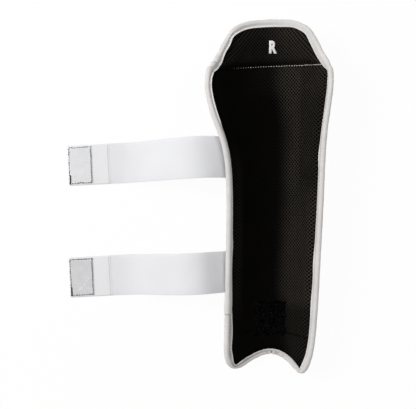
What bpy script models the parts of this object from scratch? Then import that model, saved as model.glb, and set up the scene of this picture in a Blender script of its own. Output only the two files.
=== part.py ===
"""Right-leg shin guard lying on its front: padded shell, folding knee flap, two hook-and-loop straps.

Each panel is drawn as a flat pattern (s across from the spine, q along) and bent round the leg.
The knee is towards +Y, the leg side faces +Z, and the straps run towards -X. Sizes are in mm.
"""

import math

import bmesh
import bpy
from mathutils import Vector
from mathutils.geometry import delaunay_2d_cdt

MM = 0.001

# Layers, outside to inside.
GAP = 0.3
RIB_H = 1.6
PLATE_T = 2.2
COVER_T = 1.0
FOAM_T = 6.0
FOAM_EDGE_T = 0.8
FOAM_TAPER = 9.0
LINER_T = 0.9

# Edge binding.
BIND_T = 0.8
BIND_LEG = 5.6

# Where the layers under the binding begin, from the rim and from the fold.
EDGE_IN = BIND_T + GAP + 0.1
PINCH_FAR = BIND_LEG + 0.4
PINCH_FOLD = 3.2
FOAM_FAR = BIND_LEG + 1.6
FOAM_FOLD = 4.2

# Knee flap fold.
FOLD_Y = 131.2
FOLD_RISE = math.radians(20.0)
FOLD_GAP = 0.8
SEW_FAR = (2.2, 1.2)
SEW_LIFT = 0.35

# Hard plates.
PLATE_HALF = 26.0
RIB_HALF = 11.0
SHIN_PLATE_Q = (-116.0, 108.0)
KNEE_PLATE_Q = (9.0, 33.0)
RIB_FOOT = 13.4

# Brushed patch low on the liner.
LOOP_PATCH = (
    (-20, -122), (-3, -124), (14, -122), (15, -106), (14, -90), (-3, -90), (-20, -90), (-21, -106),
)
LOOP_PATCH_T = 0.7

# Straps.
STRAP_W = 38.1
STRAP_T = 1.6
STRAP_TURN = math.radians(3.0)
TAB_L = 38.6
TAB_T = 1.8
HOOK_L = 22.4
HOOK_W = 35.4
HOOK_T = 1.3
HOOK_BASE_T = 0.5
HOOK_END = 0.6
HOOK_FIELD = 2.4
SEAM_IN = (0.8, 1.8)
THREAD_T = 0.5
ANCHOR_T = 1.4
ANCHOR_LANDS = (22.0, 18.8, 15.6, 12.4, 9.4)
PAD_T = 1.2
PAD_LANDS = (8.0, 12.0, 16.0, 20.0, 24.0)
STRAP_REST = 12.0
UPPER_STRAP = {"y": 43.6, "hinge_x": -61.0, "hinge_z": 36.0, "band": 94.4, "slope": 0.75}
LOWER_STRAP = {"y": -62.1, "hinge_x": -55.0, "hinge_z": 30.5, "band": 99.1, "slope": 0.95}
PAD_Y = {"upper": 40.6, "lower": -64.5}

# Heights of the layers, measured from the pinched mid surface towards the leg.
COVER_OUT = -COVER_T
PLATE_IN = COVER_OUT - GAP
PLATE_OUT = PLATE_IN - PLATE_T
BASE_Z = RIB_H - PLATE_OUT
PINCH_IN = GAP + LINER_T

# The tables below are drawn for this fold. Another FOLD_Y stretches them above the origin.
DRAWN_FOLD_Y = 131.2

# Bend radius at stations along the shin, left and right of the spine.
LEFT_RADII = (
    (-155, 66), (-110, 57), (-60, 51.5), (0, 47.5), (40, 47.4), (62, 53), (84, 67), (105, 76.5),
    (118, 75), (132, 70),
)
RIGHT_RADII = (
    (-155, 34), (-110, 38), (-60, 40), (0, 42.5), (35, 43.5), (68, 45.5), (95, 49.5),
    (112, 51.5), (132, 50),
)

# Flat patterns of the rims, from the left end of the fold round to the right end.
SHIN_RIM = (
    (-70, 129), (-73, 122), (-74.3, 112), (-73, 96), (-67, 69), (-58, 38), (-54, 5), (-53.2, -40),
    (-52.6, -85), (-52, -120), (-51.5, -135), (-49.8, -143), (-45.5, -149.7), (-39, -152.8), (-31, -152),
    (-22, -147.5), (-12, -142.8), (-3, -140.8), (6, -142.6), (14, -147.6), (21, -153.4), (27, -157),
    (32, -156.6), (36.5, -152.5), (40.5, -146.5), (44, -139), (47.5, -126), (50, -108), (53, -80),
    (57, -30), (60.5, 15), (63, 50), (67, 80), (69.5, 100), (70, 114), (69, 122), (66, 128.5),
)
KNEE_RIM = (
    (-71, 1), (-69.5, 5.5), (-66, 9), (-60.5, 13.4), (-53, 22.7), (-45, 32.5), (-37, 38.4), (-25, 41.6),
    (-11, 42.6), (4, 43), (18, 42.6), (28, 40), (36.2, 35.6), (43.8, 27.4), (52, 18), (58, 13.6),
    (64, 9.6), (67, 5.5), (68, 1),
)


def stretched(point):
    """Drawn flat point, moved for the fold's own place."""
    s, q = point
    return Vector((s, q * FOLD_Y / DRAWN_FOLD_Y if q > 0 else q))


def table(rows, at):
    """Value of a table at one place, smooth between its rows."""
    xs = [row[0] for row in rows]
    ys = [row[1] for row in rows]
    at = min(max(at, xs[0]), xs[-1])
    i = max(k for k in range(len(xs) - 1) if xs[k] <= at)
    slopes = [(ys[min(k + 1, len(ys) - 1)] - ys[max(k - 1, 0)])
              / (xs[min(k + 1, len(xs) - 1)] - xs[max(k - 1, 0)]) for k in (i, i + 1)]
    step = xs[i + 1] - xs[i]
    t = (at - xs[i]) / step
    rise = ys[i] * (1 + 2 * t) * (1 - t) ** 2 + ys[i + 1] * t * t * (3 - 2 * t)
    return rise + step * (slopes[0] * t * (1 - t) ** 2 - slopes[1] * t * t * (1 - t))


def smooth(t):
    """Eased step from 0 to 1."""
    t = min(max(t, 0.0), 1.0)
    return t * t * (3 - 2 * t)


def spline(points, parts):
    """Points along a smooth curve through the given flat points."""
    pts = [Vector(p) for p in points]
    pts = [2 * pts[0] - pts[1]] + pts + [2 * pts[-1] - pts[-2]]
    out = []
    for a, b, c, d in zip(pts, pts[1:], pts[2:], pts[3:]):
        for k in range(parts):
            t = k / parts
            out.append(0.5 * (2 * b + (c - a) * t + (2 * a - 5 * b + 4 * c - d) * t * t
                              + (3 * b - 3 * c + d - a) * t ** 3))
    return out + [pts[-2]]


def distance(point, line):
    """Distance from a flat point to a polyline."""
    best = 1e9
    for a, b in zip(line, line[1:]):
        along = b - a
        t = min(max((point - a).dot(along) / along.length_squared, 0.0), 1.0)
        best = min(best, (point - a - along * t).length)
    return best


def inside(point, loop):
    """True where a flat point is within a closed loop."""
    found = False
    for a, b in zip(loop, loop[1:] + loop[:1]):
        if (a.y > point.y) != (b.y > point.y):
            if point.x < a.x + (b.x - a.x) * (point.y - a.y) / (b.y - a.y):
                found = not found
    return found


class Panel:
    """A bent sheet: where a flat-pattern point lies in space, and how its layers are cut."""

    def __init__(self, rim, side, rise):
        self.side = side
        self.rise = rise
        self.rim = spline([stretched(p) for p in rim] if side > 0 else rim, 3)

    def radius(self, s, q):
        """Bend radius at a flat point. The flap keeps the fold's radius."""
        at = q if self.side > 0 else FOLD_Y
        at = at * DRAWN_FOLD_Y / FOLD_Y if at > 0 else at
        return table(LEFT_RADII if s < 0 else RIGHT_RADII, at)

    def height(self, s, q):
        """Height of the bent sheet over its spine."""
        r = self.radius(s, q)
        return r * (1 - math.cos(s / r))

    def mid(self, s, q):
        """Place of a flat point on the mid surface."""
        r = self.radius(s, q)
        h = self.height(s, q)
        x = r * math.sin(s / r)
        if self.side > 0:
            return Vector((x, q, BASE_Z + h))
        c, n = math.cos(self.rise), math.sin(self.rise)
        return Vector((x, FOLD_Y + q * c - h * n, BASE_Z + q * n + h * c))

    def place(self, s, q, d):
        """Place of a flat point raised by d towards the leg."""
        e = 0.05
        across = self.mid(s + e, q) - self.mid(s - e, q)
        along = self.mid(s, q + e) - self.mid(s, q - e)
        return self.mid(s, q) + across.cross(along).normalized() * d

    def fold(self, s):
        """Flat q of the fold, where the two panels meet on a mitre."""
        lean = self.height(s, FOLD_Y) * math.tan(FOLD_RISE / 2)
        return FOLD_Y - lean if self.side > 0 else lean

    def room(self, point):
        """How far a flat point is inside the fold edge."""
        return self.side * (self.fold(point.x) - point.y) - FOLD_GAP / 2

    def inset(self, far, fold_far):
        """Closed loop inset from the rim and from the fold."""
        line = []
        count = len(self.rim)
        for k, p in enumerate(self.rim):
            run = (self.rim[min(k + 1, count - 1)] - self.rim[max(k - 1, 0)]).normalized()
            turn = Vector((-run.y, run.x)) * self.side
            moved = p + turn * far
            if distance(moved, self.rim) > far - 0.05:
                line.append(moved)
        return self.trim(line, fold_far)

    def trim(self, line, fold_far):
        """Cuts an open line at the fold and closes it along the fold."""
        kept = [p for p in line if self.room(p) > fold_far + 0.6]
        ends = []
        for s in (kept[0].x, kept[-1].x):
            ends.append(Vector((s, self.fold(s) - self.side * (FOLD_GAP / 2 + fold_far))))
        loop = [ends[0]] + kept + [ends[1]]
        parts = 16
        for k in range(1, parts):
            s = ends[1].x + (ends[0].x - ends[1].x) * k / parts
            loop.append(Vector((s, self.fold(s) - self.side * (FOLD_GAP / 2 + fold_far))))
        return loop

    def rim_s(self, q, left):
        """Flat s of the rim at one q, on the left or the right."""
        for a, b in zip(self.rim, self.rim[1:]):
            if (a.x < 0) == left and min(a.y, b.y) <= q <= max(a.y, b.y) and abs(a.x) > 30:
                return a.x + (b.x - a.x) * (q - a.y) / (b.y - a.y)
        raise ValueError("no rim at this place")


class Pattern:
    """One panel's flat triangles, shared by its layers so that they nest."""

    def __init__(self, panel, spacing, extra=()):
        self.panel = panel
        self.edge = panel.inset(EDGE_IN, 0.0)
        self.pinch = panel.inset(PINCH_FAR, PINCH_FOLD)
        self.foam = panel.inset(FOAM_FAR, FOAM_FOLD)
        self.extra = list(extra)
        loops = [self.edge, self.pinch, self.foam] + self.extra
        points = [p for loop in loops for p in loop]
        edges = []
        for loop in loops:
            first = len(edges)
            edges += [(first + k, first + (k + 1) % len(loop)) for k in range(len(loop))]
        points += self.inner_points(spacing)
        made = delaunay_2d_cdt(points, edges, [], 0, 0.001)
        self.points = made[0]
        self.triangles = [tuple(face) for face in made[2]]
        self.raise_by = [self.foam_height(p) for p in self.points]

    def inner_points(self, spacing):
        """Loose points that carry the foam's rounded shoulder and its middle."""
        found = []
        for far in (FOAM_TAPER / 3, FOAM_TAPER / 1.5, FOAM_TAPER):
            ring = self.panel.inset(FOAM_FAR + far, FOAM_FOLD + far)
            found += [p for p in ring[::2] if inside(p, self.foam) and self.depth(p) > far - 0.4]
        low = min(p.y for p in self.foam)
        high = max(p.y for p in self.foam)
        for i in range(-8, 9):
            for j in range(int((high - low) / (spacing * 1.5)) + 1):
                p = Vector((i * spacing, low + j * spacing * 1.5))
                if inside(p, self.foam) and self.depth(p) > FOAM_TAPER + 3:
                    found.append(p)
        return [p for p in found if all(distance(p, x + x[:1]) > 1.2 for x in self.extra)]

    def depth(self, point):
        """Distance from a flat point to the foam's edge."""
        return distance(point, self.foam + self.foam[:1])

    def foam_height(self, point):
        """Thickness of foam at a flat point, nothing outside the foam."""
        away = self.depth(point)
        if away > 0.01 and not inside(point, self.foam):
            return None
        return FOAM_EDGE_T + (FOAM_T - FOAM_EDGE_T) * smooth(away / FOAM_TAPER)

    def liner_low(self, k):
        """Height of the liner's underside at one point."""
        raised = self.raise_by[k]
        return GAP if raised is None else 2 * GAP + raised

    def within(self, loop):
        """Triangles inside one of the loops."""
        found = []
        for tri in self.triangles:
            middle = sum((self.points[k] for k in tri), Vector((0, 0))) / 3
            if inside(middle, loop):
                found.append(tri)
        return found

    def slab(self, loop, low, high):
        """Closed solid over a loop, between two heights given per point."""
        triangles = self.within(loop)
        used = sorted({k for tri in triangles for k in tri})
        place = {k: n for n, k in enumerate(used)}
        count = len(used)
        verts = [self.panel.place(*self.points[k], high(k)) for k in used]
        verts += [self.panel.place(*self.points[k], low(k)) for k in used]
        faces = []
        sides = {}
        for tri in triangles:
            a, b, c = (place[k] for k in tri)
            faces += [(a, b, c), (c + count, b + count, a + count)]
            for edge in ((a, b), (b, c), (c, a)):
                sides[edge] = sides.get(edge[::-1], 0) + 1
        open_edges = [e for e in sides if e[::-1] not in sides]
        faces += [(b, a, a + count, b + count) for a, b in open_edges]
        return verts, faces


def finish(name, colour, roughness):
    """A plain material for one node."""
    material = bpy.data.materials.new(name)
    material.use_nodes = True
    shader = material.node_tree.nodes["Principled BSDF"]
    shader.inputs["Base Color"].default_value = (*colour, 1.0)
    shader.inputs["Roughness"].default_value = roughness
    return material


def add_node(name, solid, colour, roughness, origin=(0, 0, 0)):
    """One named object from points and faces in millimetres, its origin on its joint."""
    verts, faces = solid
    start = Vector(origin)
    mesh = bpy.data.meshes.new(name)
    mesh.from_pydata([(Vector(v) - start) * MM for v in verts], [], faces)
    work = bmesh.new()
    work.from_mesh(mesh)
    bmesh.ops.triangulate(work, faces=work.faces)
    bmesh.ops.recalc_face_normals(work, faces=work.faces)
    work.to_mesh(mesh)
    work.free()
    node = bpy.data.objects.new(name, mesh)
    node.location = start * MM
    node.data.materials.append(finish(name, colour, roughness))
    bpy.context.scene.collection.objects.link(node)
    return node


def lofted(rings):
    """Closed solid through rings of equal length, with flat ends."""
    size = len(rings[0])
    verts = [v for ring in rings for v in ring]
    faces = [tuple(range(size - 1, -1, -1))]
    for r in range(len(rings) - 1):
        for k in range(size):
            a = r * size + k
            b = r * size + (k + 1) % size
            faces.append((a, b, b + size, a + size))
    last = (len(rings) - 1) * size
    faces.append(tuple(range(last, last + size)))
    return verts, faces


def sheet(top, bottom):
    """Closed solid between two equal grids of points."""
    rows, cols = len(top), len(top[0])
    verts = [v for row in top for v in row] + [v for row in bottom for v in row]
    under = rows * cols
    faces = []
    for r in range(rows - 1):
        for c in range(cols - 1):
            a = r * cols + c
            quad = (a, a + 1, a + cols + 1, a + cols)
            faces.append(quad)
            faces.append(tuple(k + under for k in reversed(quad)))
    border = [c for c in range(cols)] + [r * cols + cols - 1 for r in range(1, rows)]
    border += [(rows - 1) * cols + c for c in range(cols - 2, -1, -1)]
    border += [r * cols for r in range(rows - 2, 0, -1)]
    for a, b in zip(border, border[1:] + border[:1]):
        faces.append((b, a, a + under, b + under))
    return verts, faces


def binding(panel):
    """Tape folded over the rim: a rounded channel swept along it."""
    low = COVER_OUT - GAP
    high = PINCH_IN + GAP
    t = BIND_T
    section = (
        (BIND_LEG, low - t), (2.4, low - t), (0.7, low - 0.5), (0.0, low + 0.6), (0.0, high - 0.6),
        (0.7, high + 0.5), (2.4, high + t), (BIND_LEG, high + t), (BIND_LEG, high), (t, high), (t, low),
        (BIND_LEG, low),
    )
    kept = [k for k, p in enumerate(panel.rim) if panel.room(p) > 0.9]
    rings = []
    for k in kept:
        p = panel.rim[k]
        run = (panel.rim[min(k + 1, len(panel.rim) - 1)] - panel.rim[max(k - 1, 0)]).normalized()
        turn = Vector((-run.y, run.x)) * panel.side
        ring = []
        for a, b in section:
            spot = p + turn * a
            over = max(0.0, 0.4 - panel.room(spot))
            ring.append(panel.place(spot.x, spot.y - panel.side * over, b))
        rings.append(ring)
    return lofted(rings)


def plate(panel, span, rows, land):
    """Hard plate bent over the cover, with a flat-topped rib along the spine if it has a land."""
    cols = (-1, -0.85, -0.68, -RIB_FOOT / PLATE_HALF, -RIB_HALF / PLATE_HALF, 0)
    cols = cols + tuple(-c for c in reversed(cols[:-1]))
    top, bottom = [], []
    for j in range(rows + 1):
        v = j / rows
        q = span[0] + (span[1] - span[0]) * v
        half = PLATE_HALF * (1 - 0.28 * abs(2 * v - 1) ** 6)
        line = [max(-half, min(half, c * PLATE_HALF)) if abs(c) < 0.6 else c * half for c in cols]
        top.append([panel.place(s, q, PLATE_IN) for s in line])
        outer = [panel.place(s, q, PLATE_OUT) for s in line]
        for k, s in enumerate(line):
            if land and abs(s) < RIB_HALF + 0.1:
                outer[k].z = 0.0
        bottom.append(outer)
    return sheet(top, bottom)


def fold_stitch(panel):
    """Raised line of stitching along the fold, on the liner."""
    top, bottom = [], []
    parts = 24
    low = FOLD_Y * 0.9
    left = panel.rim_s(low, True) + BIND_LEG + 2
    right = panel.rim_s(low, False) - BIND_LEG - 2
    for k in range(parts + 1):
        s = left + (right - left) * k / parts
        ends = [panel.fold(s) - FOLD_GAP / 2 - far for far in SEW_FAR]
        top.append([panel.place(s, q, PINCH_IN + SEW_LIFT + THREAD_T) for q in ends])
        bottom.append([panel.place(s, q, PINCH_IN + SEW_LIFT) for q in ends])
    return sheet(top, bottom)


class Strap:
    """One elastic strap: sewn root, band, tab and hook patch, in a frame on its root hinge."""

    def __init__(self, panel, sizes):
        self.panel = panel
        self.root_y = sizes["y"]
        self.hinge = Vector((sizes["hinge_x"], sizes["y"], sizes["hinge_z"]))
        self.band_l = sizes["band"]
        self.slope = sizes["slope"]
        self.out = Vector((-math.cos(STRAP_TURN), -math.sin(STRAP_TURN), 0))
        self.side = Vector((-math.sin(STRAP_TURN), math.cos(STRAP_TURN), 0))
        seam = self.hinge + self.out * self.band_l
        self.seam = Vector((seam.x, seam.y, TAB_T))

    def spot(self, u, w, z):
        """Place at u out from the hinge, w across the strap and z above the floor."""
        flat = self.hinge + self.out * u + self.side * w
        return Vector((flat.x, flat.y, z))

    def anchor(self):
        """Root of the strap, sewn outside the wing below the rim and led up and out to its hinge."""
        on = PLATE_IN - 0.2
        top, bottom = [], []
        for k in range(7):
            w = STRAP_W * (k / 6 - 0.5)
            q = self.root_y + w
            rim = self.panel.rim_s(q, True)
            upper = [self.panel.place(rim + a, q, on) for a in ANCHOR_LANDS]
            lower = [self.panel.place(rim + a, q, on - ANCHOR_T) for a in ANCHOR_LANDS]
            upper.append(self.spot(-0.25, w, self.hinge.z))
            lower.append(self.spot(-0.25, w, self.hinge.z - ANCHOR_T))
            top.append(upper)
            bottom.append(lower)
        return sheet(top, bottom)

    def height(self, u):
        """Height of the band's top: up from the root, over a crest and down to lie on the floor."""
        rest = STRAP_T + 0.1
        span = self.band_l - STRAP_REST
        t = min(u / span, 1.0)
        return rest + (self.hinge.z - rest) * (1 - smooth(t)) + self.slope * span * t * (1 - t) ** 2

    def band(self):
        """Elastic band from the hinge to the tab."""
        parts = 18
        run = self.band_l - 0.2
        line = []
        for k in range(parts + 1):
            u = 0.25 + (run - 0.25) * k / parts
            line.append((u, self.height(u)))
        top, bottom = [], []
        for k, (u, z) in enumerate(line):
            a, b = line[max(k - 1, 0)], line[min(k + 1, parts)]
            slope = math.atan2(b[1] - a[1], b[0] - a[0])
            under = (u + math.sin(slope) * STRAP_T, z - math.cos(slope) * STRAP_T)
            top.append([self.spot(u, w, z) for w in (-STRAP_W / 2, 0, STRAP_W / 2)])
            bottom.append([self.spot(under[0], w, under[1]) for w in (-STRAP_W / 2, 0, STRAP_W / 2)])
        return sheet(top, bottom)

    def ring(self, near, far, wide, corner, z):
        """Rounded rectangle between two distances out from the seam, at one height."""
        middle = (near + far) / 2
        half = ((far - near) / 2 - corner, wide / 2 - corner)
        found = []
        for k in range(16):
            turn = math.tau * (k + 0.5) / 16
            u = math.copysign(half[0], math.cos(turn)) + corner * math.cos(turn)
            w = math.copysign(half[1], math.sin(turn)) + corner * math.sin(turn)
            found.append(self.spot(self.band_l + middle + u, w, z))
        return found

    def tab(self):
        """Folded tab at the strap's free end."""
        return lofted([self.ring(0.2, TAB_L, STRAP_W, 1.5, z) for z in (0.0, TAB_T)])

    def hook(self):
        """Hook tape: a thin sewn margin round the raised field of hooks."""
        near, far = TAB_L - HOOK_L - HOOK_END, TAB_L - HOOK_END
        low = TAB_T + GAP
        field = (near + HOOK_FIELD, far - HOOK_FIELD, HOOK_W - 2 * HOOK_FIELD, 0.8)
        rings = [self.ring(near, far, HOOK_W, 1.2, z) for z in (low, low + HOOK_BASE_T)]
        return lofted(rings + [self.ring(*field, z) for z in (low + HOOK_BASE_T, low + HOOK_T)])

    def thread(self):
        """Stitched frame on the margin of the hook tape, level with its hooks."""
        high = TAB_T + GAP + HOOK_T
        low = high - THREAD_T
        outer, inner = SEAM_IN
        rings = []
        for inset, z in ((outer, low), (outer, high), (inner, high), (inner, low)):
            near, far = TAB_L - HOOK_L - HOOK_END + inset, TAB_L - HOOK_END - inset
            half = HOOK_W / 2 - inset
            corners = ((near, -half), (far, -half), (far, half), (near, half))
            rings.append([self.spot(self.band_l + u, w, z) for u, w in corners])
        verts = [v for ring in rings for v in ring]
        faces = []
        for r in range(4):
            for k in range(4):
                n = (k + 1) % 4
                after = (r + 1) % 4 * 4
                faces.append((r * 4 + k, r * 4 + n, after + n, after + k))
        return verts, faces


def loop_pad(panel, y):
    """Loop pad on the outside of the wing across from the strap."""
    top, bottom = [], []
    for k in range(7):
        q = y + STRAP_W * (k / 6 - 0.5)
        rim = panel.rim_s(q, False)
        top.append([panel.place(rim - a, q, PLATE_IN) for a in PAD_LANDS])
        bottom.append([panel.place(rim - a, q, PLATE_IN - PAD_T) for a in PAD_LANDS])
    return sheet(top, bottom)


def build_panel(prefix, pattern, origin):
    """Cover, foam, liner and binding of one panel."""
    heights = pattern.raise_by
    cover = pattern.slab(pattern.edge, lambda k: COVER_OUT, lambda k: 0.0)
    foam = pattern.slab(pattern.foam, lambda k: GAP, lambda k: GAP + heights[k])
    liner = pattern.slab(pattern.edge, pattern.liner_low, lambda k: pattern.liner_low(k) + LINER_T)
    add_node(prefix + "_cover", cover, (0.80, 0.80, 0.79), 0.45, origin)
    add_node(prefix + "_foam", foam, (0.10, 0.10, 0.11), 0.9, origin)
    add_node(prefix + "_liner", liner, (0.015, 0.015, 0.016), 0.85, origin)
    add_node(prefix + "_binding", binding(pattern.panel), (0.78, 0.77, 0.76), 0.7, origin)


def build_strap(name, panel, sizes):
    """One strap with its loop pad on the far wing."""
    strap = Strap(panel, sizes)
    white = (0.80, 0.81, 0.83)
    add_node(name + "_strap_anchor", strap.anchor(), white, 0.75)
    add_node(name + "_strap_band", strap.band(), white, 0.75, strap.hinge)
    add_node(name + "_strap_tab", strap.tab(), (0.80, 0.80, 0.79), 0.7, strap.seam)
    add_node(name + "_hook_patch", strap.hook(), (0.78, 0.78, 0.77), 0.6, strap.seam)
    add_node(name + "_hook_stitch", strap.thread(), (0.03, 0.03, 0.035), 0.8, strap.seam)
    add_node(name + "_loop_pad", loop_pad(panel, PAD_Y[name]), (0.74, 0.74, 0.73), 0.95)


def main():
    """Builds the guard in an empty scene."""
    for old in list(bpy.data.objects):
        bpy.data.objects.remove(old)
    shin = Panel(SHIN_RIM, 1, 0.0)
    knee = Panel(KNEE_RIM, -1, FOLD_RISE)
    patch = [Vector(p) for p in LOOP_PATCH]
    shin_pattern = Pattern(shin, 9.0, [patch])
    knee_pattern = Pattern(knee, 9.0)
    build_panel("shin", shin_pattern, (0, 0, 0))
    fold_axis = (0, FOLD_Y, BASE_Z)
    build_panel("knee", knee_pattern, fold_axis)
    add_node("shin_plate", plate(shin, SHIN_PLATE_Q, 16, True), (0.82, 0.82, 0.82), 0.3)
    add_node("knee_plate", plate(knee, KNEE_PLATE_Q, 6, False), (0.82, 0.82, 0.82), 0.3, fold_axis)
    lift = LINER_T + GAP
    patch_solid = shin_pattern.slab(patch, lambda k: shin_pattern.liner_low(k) + lift,
                                    lambda k: shin_pattern.liner_low(k) + lift + LOOP_PATCH_T)
    add_node("liner_loop_patch", patch_solid, (0.012, 0.012, 0.013), 1.0)
    add_node("fold_stitch", fold_stitch(shin), (0.7, 0.7, 0.7), 0.8)
    build_strap("upper", shin, UPPER_STRAP)
    build_strap("lower", shin, LOWER_STRAP)


main()
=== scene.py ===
"""Look of a right-leg shin guard that lies on its front, leg side up.

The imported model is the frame. Each soft layer is drawn on the same flat pattern as its solid, bent round
the leg, and dressed with its own cloth. Sizes are in millimetres until a mesh is made.
"""

import logging
import math
from dataclasses import dataclass, field
from enum import Enum
from typing import Callable, NamedTuple, Sequence

import bmesh
import bpy
import numpy as np
from bpy.types import Material, Node, NodeSocket, NodeTree, Object
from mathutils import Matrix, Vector
from mathutils.geometry import delaunay_2d_cdt
from mathutils.kdtree import KDTree

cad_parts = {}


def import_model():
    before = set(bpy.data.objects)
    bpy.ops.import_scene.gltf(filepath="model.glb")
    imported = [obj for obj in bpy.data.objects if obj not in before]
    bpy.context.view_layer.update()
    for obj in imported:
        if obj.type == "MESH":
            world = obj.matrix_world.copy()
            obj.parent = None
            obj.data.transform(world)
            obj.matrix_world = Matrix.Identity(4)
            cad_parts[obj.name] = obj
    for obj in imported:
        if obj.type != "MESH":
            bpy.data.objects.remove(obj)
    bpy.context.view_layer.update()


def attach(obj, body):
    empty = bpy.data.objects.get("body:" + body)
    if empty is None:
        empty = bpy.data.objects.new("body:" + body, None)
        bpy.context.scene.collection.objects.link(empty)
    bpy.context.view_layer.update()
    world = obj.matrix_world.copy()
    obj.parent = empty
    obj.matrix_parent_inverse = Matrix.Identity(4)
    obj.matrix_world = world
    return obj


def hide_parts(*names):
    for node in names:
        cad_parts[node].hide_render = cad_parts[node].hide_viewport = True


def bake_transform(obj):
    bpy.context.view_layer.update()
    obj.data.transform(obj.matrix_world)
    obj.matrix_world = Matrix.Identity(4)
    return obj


LOG = logging.getLogger("shin_guard")
MM = 0.001
TINY = 1e-9
TINY_SQUARE = 1e-12
CHUNK = 3000
UP = np.array((0.0, 0.0, 1.0))
Array = np.ndarray


class Wing(Enum):
    """Side of the guard, seen from the leg side."""

    LEFT = -1
    RIGHT = 1


class StrapPlace(Enum):
    """Which strap."""

    UPPER = "upper"
    LOWER = "lower"


# Shapes on the flat pattern


def smooth(t: Array) -> Array:
    """Eased step from 0 to 1."""
    t = np.clip(t, 0.0, 1.0)
    return t * t * (3 - 2 * t)


def ramp(at: Array, start: float | Array, over: float) -> Array:
    """Eased step that begins at a start and takes a length, backwards where the length is negative."""
    return smooth((at - start) / over)


def bell(t: Array) -> Array:
    """Soft peak, 1 in its middle."""
    return np.exp(-(t**2))


def bumps(points: Array, rows: Sequence[tuple[float, float, float, float]]) -> Array:
    """Sum of round bumps.

    Args:
        points: flat points.
        rows: place across and along, height and width of each bump.

    Returns:
        One height for each point.
    """
    found = np.zeros(len(points))
    for s, p, high, wide in rows:
        found += high * np.exp(-((points[:, 0] - s) ** 2 + (points[:, 1] - p) ** 2) / wide**2)
    return found


def unit(v: Array) -> Array:
    """Vectors scaled to length 1."""
    return v / np.maximum(np.linalg.norm(v, axis=-1, keepdims=True), TINY)


def rounded(edge: Array, radius: float) -> Array:
    """Height of a rounded edge, 0 to 1, by the distance from it."""
    return np.sqrt(np.clip(1 - (1 - np.clip(edge / radius, 0, 1)) ** 2, 0, 1))


def hermite(rows: Sequence[tuple[float, float]], at: Array) -> Array:
    """Smooth reading of a table.

    Args:
        rows: pairs of place and value, places rising.
        at: places to read.

    Returns:
        The values there.
    """
    xs = np.array([r[0] for r in rows], float)
    ys = np.array([r[1] for r in rows], float)
    at = np.clip(at, xs[0], xs[-1])
    i = np.clip(np.searchsorted(xs, at, "right") - 1, 0, len(xs) - 2)
    n = len(xs) - 1
    k = np.arange(len(xs))
    hi, lo = np.minimum(k + 1, n), np.maximum(k - 1, 0)
    slope = (ys[hi] - ys[lo]) / (xs[hi] - xs[lo])
    step = xs[i + 1] - xs[i]
    t = (at - xs[i]) / step
    value = ys[i] * (1 + 2 * t) * (1 - t) ** 2 + ys[i + 1] * t * t * (3 - 2 * t)
    return value + step * (slope[i] * t * (1 - t) ** 2 - slope[i + 1] * t * t * (1 - t))


def spline(points: Sequence[Sequence[float]], parts: int) -> Array:
    """Catmull-Rom curve through points.

    Args:
        points: places the curve passes.
        parts: steps between two places.

    Returns:
        Points along the curve.
    """
    p = np.array(points, float)
    p = np.vstack([2 * p[0] - p[1], p, 2 * p[-1] - p[-2]])
    t = (np.arange(parts) / parts)[:, None]
    out = []
    for a, b, c, d in zip(p, p[1:], p[2:], p[3:]):
        out.append(0.5 * (2 * b + (c - a) * t + (2 * a - 5 * b + 4 * c - d) * t**2
                          + (3 * b - 3 * c + d - a) * t**3))
    return np.vstack(out + [p[-2:-1]])


def line_run(line: Array) -> Array:
    """Distance along a polyline to each of its points."""
    return np.concatenate([[0], np.cumsum(np.linalg.norm(np.diff(line, axis=0), axis=1))])


def resample(line: Array, count: int, closed: bool = False) -> Array:
    """Points spaced evenly along a polyline.

    Args:
        line: the polyline.
        count: how many points to give.
        closed: whether its end joins its start.

    Returns:
        The spaced points.
    """
    if closed:
        line = np.vstack([line, line[:1]])
    run = line_run(line)
    at = np.linspace(0, run[-1], count + 1)[:-1] if closed else np.linspace(0, run[-1], count)
    return read_along(at, run, line)


def read_along(at: Array, run: Array, line: Array) -> Array:
    """Points or directions read at places between those of a line."""
    return np.stack([np.interp(at, run, line[:, k]) for k in range(line.shape[1])], 1)


def relax(line: Array) -> Array:
    """Line with each inner point drawn half way to the middle of its neighbours."""
    line[1:-1] = line[1:-1] * 0.5 + (line[2:] + line[:-2]) * 0.25
    return line


def line_distance(points: Array, line: Array, closed: bool = True) -> Array:
    """Distance from flat points to a polyline.

    Args:
        points: flat points.
        line: the polyline.
        closed: whether its end joins its start.

    Returns:
        One distance for each point.
    """
    a = line if closed else line[:-1]
    b = np.roll(line, -1, 0) if closed else line[1:]
    along = b - a
    size = np.maximum((along**2).sum(1), TINY_SQUARE)
    found = []
    for part in np.array_split(points, max(1, len(points) // CHUNK)):
        rel = part[:, None] - a
        t = np.clip((rel * along).sum(2) / size, 0, 1)
        found.append(np.linalg.norm(rel - along * t[..., None], axis=2).min(1))
    return np.concatenate(found)


def loop_holds(points: Array, loop: Array) -> Array:
    """Whether flat points lie inside a closed loop.

    Args:
        points: flat points.
        loop: the closed loop.

    Returns:
        True for each point inside.
    """
    a, b = loop, np.roll(loop, -1, 0)
    drop = np.where(b[:, 1] == a[:, 1], TINY, b[:, 1] - a[:, 1])
    found = []
    for part in np.array_split(points, max(1, len(points) // CHUNK)):
        x, y = part[:, :1], part[:, 1:]
        over = (a[:, 1] > y) != (b[:, 1] > y)
        cut = a[:, 0] + (b[:, 0] - a[:, 0]) * (y - a[:, 1]) / drop
        found.append((over & (x < cut)).sum(1) % 2 == 1)
    return np.concatenate(found)


@dataclass(frozen=True)
class Stretch:
    """Length of the pattern over which something shows, eased in and out."""

    start: float
    rise: float
    end: float
    fall: float

    def at(self, place: Array) -> Array:
        """How much shows at a place, 0 to 1."""
        return ramp(place, self.start, self.rise) * ramp(place, self.end, -self.fall)


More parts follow.
